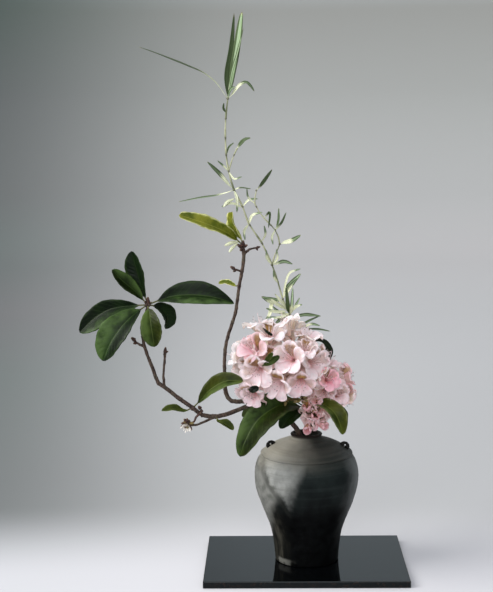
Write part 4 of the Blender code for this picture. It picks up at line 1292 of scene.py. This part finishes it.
# how deep a pink each blossom is, from blossom_01 on
BLUSHES = (0.0, 0.15, 0.60, 0.0, 0.22, 0.40, 0.10, 0.05, 0.10, 0.18, 0.28, 0.22, 0.26, 0.42, 0.10, 0.40,
           0.80, 0.38, 0.30)
rng = Random(FLOWER_SEED)
axes = {}
for number, blush in enumerate(BLUSHES, 1):
    size = OPEN_RADIUS * rng.uniform(0.92, 1.05)
    show_blossom(f"blossom_{number:02d}", size, OPEN_PETAL, 0.085, blush, "petal")
for number in HALF_OPEN:
    show_blossom(f"half_open_blossom_{number:02d}", SHUT_RADIUS, SHUT_PETAL, 0.10, 0.9, "half_open_petal")
print("corollas", len(axes))

# %% [markdown]
# ## Ways into the gaps
# A truss is a ball of flowers, so a gap in it is a way from its middle that no flower takes.
# Many ways are spread evenly over a ball, and those that look to the back are left out. The
# one farthest from all that are taken comes first, and then it counts as taken too.

# %% Ways into the gaps
WAYS_TRIED = 160


def even_ways(count):
    """Directions spread evenly over a ball."""
    ways = []
    for i in range(count):
        z = 1.0 - 2.0 * (i + 0.5) / count
        turn = i * pi * (3.0 - sqrt(5.0))
        ways.append(Vector((sqrt(1.0 - z * z) * cos(turn), sqrt(1.0 - z * z) * sin(turn), z)))
    return ways


def gap_ways(taken, count):
    """The ways that lie farthest from the ones taken already, one after another."""
    found = []
    ways = [way for way in even_ways(WAYS_TRIED) if way.y < 0.25]
    while len(found) < count:
        apart = [min((way - other).length for other in taken + found) for way in ways]
        found.append(ways[apart.index(max(apart))])
    return found


print("ways tried", len(even_ways(WAYS_TRIED)))

# %% [markdown]
# ## Gap fillers
# A truss is so full that hardly anything shows between its blossoms. Smaller corollas, set
# further in, close the widest gaps, and a few more are listed one by one.

# %% Gap fillers
TRUSSES = {
    "left_truss": range(1, 9),
    "right_truss": range(9, 16),
    "back_truss": range(16, 20),
}
FILLERS = {"left_truss": 9, "right_truss": 8, "back_truss": 6}
# fillers listed one by one where the front would still show a gap:
# (middle of the face in millimetres, the way it looks, radius, blush)
PLACED_FILLERS = {
    "left_truss": [
        ((-66, -62, 352), (0.0, -0.95, -0.3), 21.0, 0.3),
        ((-105, -52, 398), (-0.40, -0.80, 0.35), 26.0, 0.0),
        ((-104, -56, 368), (-0.45, -0.85, 0.0), 25.0, 0.05),
        ((-92, -80, 330), (-0.35, -0.85, -0.3), 21.0, 0.4),
    ],
    "right_truss": [
        ((-12, -54, 375), (0.0, -1.0, 0.0), 21.0, 0.3),
        ((4, -26, 408), (0.2, -0.5, 0.8), 21.0, 0.2),
    ],
    "back_truss": [
        ((70, 0, 319), (0.7, -0.7, 0.0), 21.0, 0.6),
        ((60, -24, 322), (0.25, -0.9, 0.4), 22.0, 0.35),
        ((44, -52, 353), (0.35, -0.85, 0.25), 21.0, 1.0),
    ],
}
FILLER_RADIUS = 21.0
fillers = {}
for truss, numbers in TRUSSES.items():
    flowers = [axes[f"blossom_{number:02d}"] for number in numbers]
    centre = middle_of([start for start, face, axis in flowers])
    depth = sum((face - centre).length for start, face, axis in flowers) / len(flowers)
    taken = [(face - centre).normalized() for start, face, axis in flowers]
    skin = Skin(*PETAL_MARKS)
    fillers[truss] = []
    placed = []
    for way in gap_ways(taken, FILLERS[truss]):
        blush = rng.uniform(0.3, 0.7) if truss == "back_truss" else rng.uniform(0.1, 0.5)
        placed.append((centre + way * depth * rng.uniform(0.66, 0.80), way, FILLER_RADIUS, blush))
    placed += [(MM * Vector(face), Vector(way).normalized(), size, blush)
               for face, way, size, blush in PLACED_FILLERS[truss]]
    for face, way, size, blush in placed:
        fillers[truss].append((face, way, size))
        add_corolla(skin, face, way, size * MM, OPEN_PETAL, rng, 0.09, blush)
    skin.piece(f"{truss}_fillers", petal_finish, "petal")
print("fillers", sum(len(found) for found in fillers.values()))

# %% [markdown]
# ## Florets over the lip
# Between the collar of leaves and the jar's lip hangs a clump of florets that are still
# opening. They are small corollas of mixed size and colour, laid over an egg shape and
# turned a little at random, so that dark gaps stay between them.

# %% Florets
CLUMP_MIDDLE = Vector((0.018, -0.024, 0.290))
CLUMP_RADII = (24.0 * MM, 16.0 * MM, 26.0 * MM)
CLUMP_WAYS = 26
floret_ways = [way for way in even_ways(CLUMP_WAYS) if way.y < 0.35 and way.z > -0.85]
florets = Skin(*PETAL_MARKS)
for way in floret_ways:
    face = CLUMP_MIDDLE + Vector([w * radius for w, radius in zip(way, CLUMP_RADII)])
    facing = (way + Vector((rng.uniform(-0.4, 0.4), -0.25, rng.uniform(-0.5, 0.2)))).normalized()
    size = rng.uniform(9.0, 15.0) * MM
    add_corolla(florets, face, facing, size, OPEN_PETAL, rng, 0.16, rng.uniform(0.1, 1.0))
florets.piece("half_open_florets", petal_finish, "half_open_petal")
print("florets", len(floret_ways))

# %% [markdown]
# ## Stamens and pistils
# Ten thin filaments curve out of each throat with a brown anther at the tip, round a longer
# and stouter pistil. All are tubes with few sides, and one finish does for them: it shades
# along the tube, and the mark called tone browns an anther.

# %% Stamens
def plant_tissue(name, low, high, rough):
    finish = Finish(name)
    run = finish.chart()[1]
    cloud = finish.grain(300.0, detail=2.0)
    tone = finish.mark("tone")
    colour = finish.mix((run + (cloud - 0.5) * 0.6).step(0.1, 0.9), low, high)
    colour = finish.mix(tone, colour, (0.100, 0.050, 0.030))
    return finish.done(colour, rough + 0.15 * cloud, cloud, 0.0003, 0.6)


filament_finish = plant_tissue("filament", (0.72, 0.36, 0.44), (0.84, 0.70, 0.70), 0.45)
STAMENS = 10


def add_anther(skin, place, way, length, girth, **marks):
    """A small closed lozenge, blunt at both ends."""
    path = []
    radii = []
    for step in range(5):
        share = step / 4
        path.append(place + way * length * (share - 0.5))
        radii.append(girth * (0.35 + 0.65 * sin(pi * share)))
    tube(skin, path, radii, 6, **marks)


def add_stamens(skin, face, axis, radius, rng):
    """Ten stamens round the axis, and the pistil last."""
    side = axis.orthogonal().normalized()
    for number in range(STAMENS + 1):
        pistil = number == STAMENS
        turn = 2 * pi * number / STAMENS + rng.uniform(-0.15, 0.15)
        way = Quaternion(axis, turn) @ side
        spread = 0.04 if pistil else rng.uniform(0.16, 0.34)
        rise = 0.55 if pistil else rng.uniform(0.05, 0.38)
        sag = Vector((0.0, -0.02, 0.10))
        points = [-0.95 * axis + 0.04 * way, -0.45 * axis + 0.5 * spread * way,
                  rise * axis + spread * way + sag]
        path = smooth_path([face + radius * point for point in points], 5)
        girth = (0.42 if pistil else 0.26) * MM
        tube(skin, path, [girth] * len(path), 5, tone=0.0)
        length = 0.9 * MM if pistil else 1.9 * MM
        tone = 0.15 if pistil else 0.85
        add_anther(skin, path[-1], (way + axis * 0.4).normalized(), length, 0.62 * MM, tone=tone)

# %% [markdown]
# ## Pedicels
# Behind the funnel a five-toothed calyx sits on a downy pedicel, a tube that thickens where
# the flower begins. Stamens and pedicels are many and small, so each truss has one gathered
# piece of each.

# %% Pedicels
pedicel_finish = plant_tissue("pedicel", (0.17, 0.20, 0.06), (0.36, 0.15, 0.11), 0.55)
CALYX_TEETH = 5


def add_pedicel(skin, start, face, axis, depth, rng):
    """The stalk from the truss to the calyx, and the calyx's five teeth."""
    calyx = face - axis * depth
    bend = axis.orthogonal().normalized() * rng.uniform(-1.5, 1.5) * MM
    path = smooth_path([start - axis * 1.6 * MM, (start + calyx) / 2 + bend, calyx + axis * 2.0 * MM], 6)
    radii = [MM * (0.95 + 0.55 * soft_step(i / (len(path) - 1), 0.7, 1.0)) for i in range(len(path))]
    tube(skin, path, radii, 8, tone=0.0)
    side = axis.orthogonal().normalized()
    for turn in angles(CALYX_TEETH):
        way = Quaternion(axis, turn + rng.uniform(-0.2, 0.2)) @ side
        tip = calyx + axis * 3.6 * MM + way * 2.9 * MM
        tooth_path = [calyx + way * 0.8 * MM, (calyx + tip) / 2 + way * 0.7 * MM, tip]
        tube(skin, tooth_path, [0.8 * MM, 0.7 * MM, 0.2 * MM], 6, tone=0.2)


# from the open face back to the calyx
OPEN_DEPTH = 28.0 * MM
SHUT_DEPTH = 22.0 * MM
for truss, numbers in TRUSSES.items():
    stamens = Skin("tone")
    pedicels = Skin("tone")
    for number in numbers:
        start, face, axis = axes[f"blossom_{number:02d}"]
        add_stamens(stamens, face, axis, OPEN_RADIUS, rng)
        add_pedicel(pedicels, start, face, axis, OPEN_DEPTH, rng)
    for face, way, size in fillers[truss]:
        add_stamens(stamens, face, way, size * MM, rng)
    stamens.piece(f"{truss}_stamens", filament_finish, "petal")
    pedicels.piece(f"{truss}_pedicels", pedicel_finish, "sprig_bark")
pedicels = Skin("tone")
for number in HALF_OPEN:
    start, face, axis = axes[f"half_open_blossom_{number:02d}"]
    add_pedicel(pedicels, start, face, axis, SHUT_DEPTH, rng)
pedicels.piece("half_open_pedicels", pedicel_finish, "sprig_bark")
print("stamens in", len(TRUSSES), "trusses, pedicels behind", len(axes), "blossoms")

# %% [markdown]
# ## Buds
# Where leaves meet, a rhododendron keeps a fat bud of overlapping scales. A scale is a short
# spoon of a blade, so the leaf maker can make it too. Each bud is three turns of four
# scales closed over a point.

# %% Buds
def scale_finish():
    finish = Finish("bud_scale")
    run = finish.chart()[1]
    tone = finish.mark("tone")
    cloud = finish.grain(240.0, detail=3.0)
    colour = finish.mottle(cloud, (0.014, 0.006, 0.005), (0.090, 0.036, 0.022))
    straw = finish.mottle(cloud, (0.20, 0.15, 0.040), (0.38, 0.30, 0.10))
    colour = finish.mix(tone, colour, straw)
    colour = finish.mix(run.step(0.8, 1.0) * 0.4, colour, (0.34, 0.24, 0.13))
    return finish.done(colour, 0.55 + 0.2 * cloud, cloud, 0.0004, 0.6)


scales = scale_finish()
SCALE_HABIT = {
    "columns": (-1.0, -0.6, -0.25, 0.0, 0.25, 0.6, 1.0),
    "stalk": 0.8 * MM, "petiole": 0.02, "thickness": 0.35 * MM, "fold": -0.45, "roll": 0.0, "wave": 0.02,
    "skew": 1.1, "fullness": 0.7, "lean": 0.0,
}
SCALES_IN_A_TURN = 4


def add_bud(skin, base, way, length, girth, rng, tone):
    """Three turns of scales closed over a point, the outer ones shorter."""
    side = way.orthogonal().normalized()
    for row, (reach, spread) in enumerate(((0.62, 1.0), (0.84, 0.8), (1.0, 0.5))):
        for turn in angles(SCALES_IN_A_TURN):
            out = Quaternion(way, turn + row * 0.7 + rng.uniform(-0.1, 0.1)) @ side
            points = [base + out * girth * 0.3, base + way * length * 0.4 * reach + out * girth * spread,
                      base + way * length * reach + out * girth * 0.12]
            add_flat_blade(skin, points, out, girth * 0.95, SCALE_HABIT, rng, tone=tone)


# bud: (where its base is in millimetres, the way it points, length, girth, how pale it is)
BUDS = [
    ((-269, -90, 493), (0.05, -0.3, 0.95), 15.0, 4.0, 0.0),
    ((-269, -90, 493), (0.75, -0.3, 0.55), 9.0, 2.4, 0.1),
    ((-269, -90, 493), (-0.55, -0.5, 0.6), 9.0, 2.4, 0.0),
    ((-108, 11, 582), (0.1, -0.4, 0.9), 12.0, 4.0, 0.0),
    ((-109, 10, 580), (-0.8, -0.3, 0.5), 11.0, 3.4, 0.0),
    ((-106, 10, 581), (0.8, -0.5, 0.45), 9.0, 3.0, 0.0),
    ((-108, 9, 577), (-0.5, -0.7, -0.2), 9.0, 3.2, 0.0),
    ((-84, 9, 579), (0.9, 0.0, 0.25), 8.0, 2.6, 0.0),
    ((-84, 9, 579), (0.5, 0.1, -0.8), 6.0, 2.0, 0.0),
    ((-243, -63, 404), (0.1, -0.1, 1.0), 11.0, 3.0, 0.0),
    ((-243, -63, 404), (0.85, -0.2, 0.5), 7.0, 2.0, 0.0),
    ((-291, -90, 430), (-0.75, -0.1, 0.65), 10.0, 3.4, 0.0),
    ((-289, -90, 427), (-0.65, -0.3, -0.1), 7.0, 2.8, 0.0),
    ((-122, 11, 541), (-0.85, -0.1, 0.5), 10.0, 3.2, 0.0),
    ((-120, 11, 540), (-0.75, -0.3, -0.5), 7.0, 2.6, 0.0),
    ((-182, -66, 305), (-0.5, -0.5, 0.6), 9.0, 3.4, 0.0),
    ((-180, -66, 303), (-0.3, -0.6, -0.6), 8.0, 3.0, 0.0),
]
BUD_SEED = 5
rng = Random(BUD_SEED)
bough_buds = Skin("tone")
for base, way, length, girth, tone in BUDS:
    add_bud(bough_buds, MM * Vector(base), Vector(way).normalized(), length * MM, girth * MM, rng, tone)
bough_buds.piece("bough_buds", scales, "bough_bark")
print("buds", len(BUDS))

# %% [markdown]
# ## Bracts
# The scales that once wrapped a flower bud hang on round its stem after it has opened. They
# stand in every direction from the middle of a truss, brown at the base of the sprig and
# straw yellow higher up, and show between the flowers.

# %% Bracts
# (centre in millimetres, how many, length, how pale they are)
BRACTS = [
    ((-67, -28, 382), 9, 17.0, 0.7), ((-5, -24, 376), 9, 17.0, 0.7), ((32, 0, 328), 6, 13.0, 0.4),
    ((-32, -54, 321), 13, 17.0, 0.45), ((-5, -56, 318), 13, 17.0, 0.45),
    ((14, -30, 290), 16, 22.0, 0.0), ((20, -34, 276), 8, 18.0, 0.0),
]
truss_bracts = Skin("tone")
for centre, count, length, paleness in BRACTS:
    heart = MM * Vector(centre)
    for number in range(count):
        way = Vector((rng.uniform(-1, 1), rng.uniform(-1.2, 0.6), rng.uniform(-0.5, 0.9))).normalized()
        bow = way.orthogonal().normalized() * rng.uniform(1.0, 3.0) * MM
        points = [heart + way * 4.0 * MM, heart + way * 0.6 * length * MM + bow, heart + way * length * MM]
        tone = paleness + rng.uniform(0.0, 0.3)
        width = rng.uniform(2.6, 4.2) * MM
        add_flat_blade(truss_bracts, points, bow.normalized(), width, SCALE_HABIT, rng, tone=tone)
truss_bracts.piece("truss_bracts", scales, "sprig_bark")
print("bracts", sum(count for centre, count, length, paleness in BRACTS))

# %% [markdown]
# ## Leaflets and young bracts
# A few small green leaflets push out between the blossoms, and pale bracts cling under the
# sunlit leaf and to the culm behind it. Both are short blades through three points, the
# first with the leaf's finish and the second with the bamboo's cream. Two of the leaflets
# are painted shade: near-black blades set where the truss shows dark gaps.

# %% Leaflets and young bracts
# (way points in millimetres, half width, way the face looks, age, painted shade, painted light on one half)
LEAFLETS = [
    ([(-74, -84, 384), (-60, -97, 394), (-44, -97, 404)], 6.0, (0.2, -0.95, 0.2), 0.10, 0.0, 0.0),
    ([(-72, -86, 388), (-64, -98, 400), (-56, -98, 410)], 4.5, (0.2, -0.95, 0.2), 0.20, 0.0, 0.0),
    # these two are near-black blades with full painted shade, set in dark gaps of the truss
    ([(-98, -84, 343), (-90, -103, 347), (-80, -105, 351)], 6.0, (0.2, -0.95, 0.2), 0.0, 1.0, 0.0),
    ([(-72, -74, 448), (-64, -90, 443), (-56, -90, 438)], 2.6, (0.2, -0.95, 0.2), 0.0, 1.0, 0.0),
]
gather_blades("truss_leaflets", LEAFLETS, LEAF_HABIT, leaf_finish, "rhododendron_leaf", *LEAF_MARKS)

# (way points in millimetres, half width, way the face looks, cream, mint)
YOUNG_BRACTS = [
    ([(-116, 10, 590), (-128, 4, 589), (-140, 0, 584)], 3.6, (0.2, -0.8, 0.5), 1.6, 0.0),
    ([(-116, 10, 588), (-126, 4, 580), (-132, 0, 572)], 3.0, (0.2, -0.8, 0.5), 1.6, 0.0),
    ([(-123, 42, 664), (-134, 34, 660), (-142, 30, 650)], 3.4, (0.2, -0.8, 0.5), 1.6, 0.0),
]
gather_blades("pale_bracts", YOUNG_BRACTS, SCALE_HABIT, bamboo_finish, "bamboo_leaf", *BAMBOO_MARKS)
print("leaflets", len(LEAFLETS), "young bracts", len(YOUNG_BRACTS))

# %% [markdown]
# ## The spent flower head
# Low on the bough hangs last year's flower head: ten dry capsules on a short dark link, with
# white calyces still clinging under them. The capsules are swollen tubes round one point,
# and the calyces are narrow scales.

# %% Spent head
CAPSULES = 10
DRY_CALYCES = 12
LINK_POINTS = [(-181, -67, 299), (-190, -73, 292), (-194, -74, 284), (-205, -74, 281)]
head_middle = MM * Vector(LINK_POINTS[-1])
link = smooth_path(in_metres(LINK_POINTS), 4)
capsules = Skin("tone")
tube(capsules, link, [MM * (2.4 - 0.08 * i) for i in range(len(link))], 9, tone=0.0)
for number, turn in enumerate(angles(CAPSULES)):
    way = Vector((-0.30 + 0.8 * cos(turn), -0.40 + 0.3 * cos(2 * turn), 0.05 + 0.9 * sin(turn)))
    way.normalize()
    reach = MM * (11.0 + 3.0 * sin(7.0 * turn))
    path = smooth_path([head_middle + way * reach * share for share in (0.0, 0.5, 1.0)], 5)
    radii = [MM * (0.9 + 1.9 * soft_step(i, 1, 6) - 1.4 * soft_step(i, 7, 10)) for i in range(len(path))]
    tube(capsules, path, radii, 9, tone=0.0 if number % 4 else 0.6)
capsules.piece("spent_capsules", scales, "bough_bark")

dry_calyx = plant_tissue("dry_calyx", (0.30, 0.25, 0.20), (0.80, 0.76, 0.70), 0.6)
calyces = Skin("tone")
for even_turn in angles(DRY_CALYCES):
    turn = even_turn + rng.uniform(-0.2, 0.2)
    way = Vector((-0.25 + 0.6 * cos(turn), -0.55, -0.60 + 0.55 * sin(turn))).normalized()
    bow = way.orthogonal().normalized() * 1.2 * MM
    tip = head_middle + way * rng.uniform(13.0, 18.0) * MM
    points = [head_middle + way * 3.0 * MM, head_middle + way * 9.0 * MM + bow, tip]
    width = rng.uniform(1.4, 2.4) * MM
    add_flat_blade(calyces, points, bow.normalized(), width, SCALE_HABIT, rng, tone=0.0)
calyces.piece("dry_calyces", dry_calyx, "bough_bark")
print("spent head at", head_middle[:])

# %% [markdown]
# ## Measures
# The finished pieces must stay within the measured solids, apart from a little that soft
# leaf and petal may stand proud.
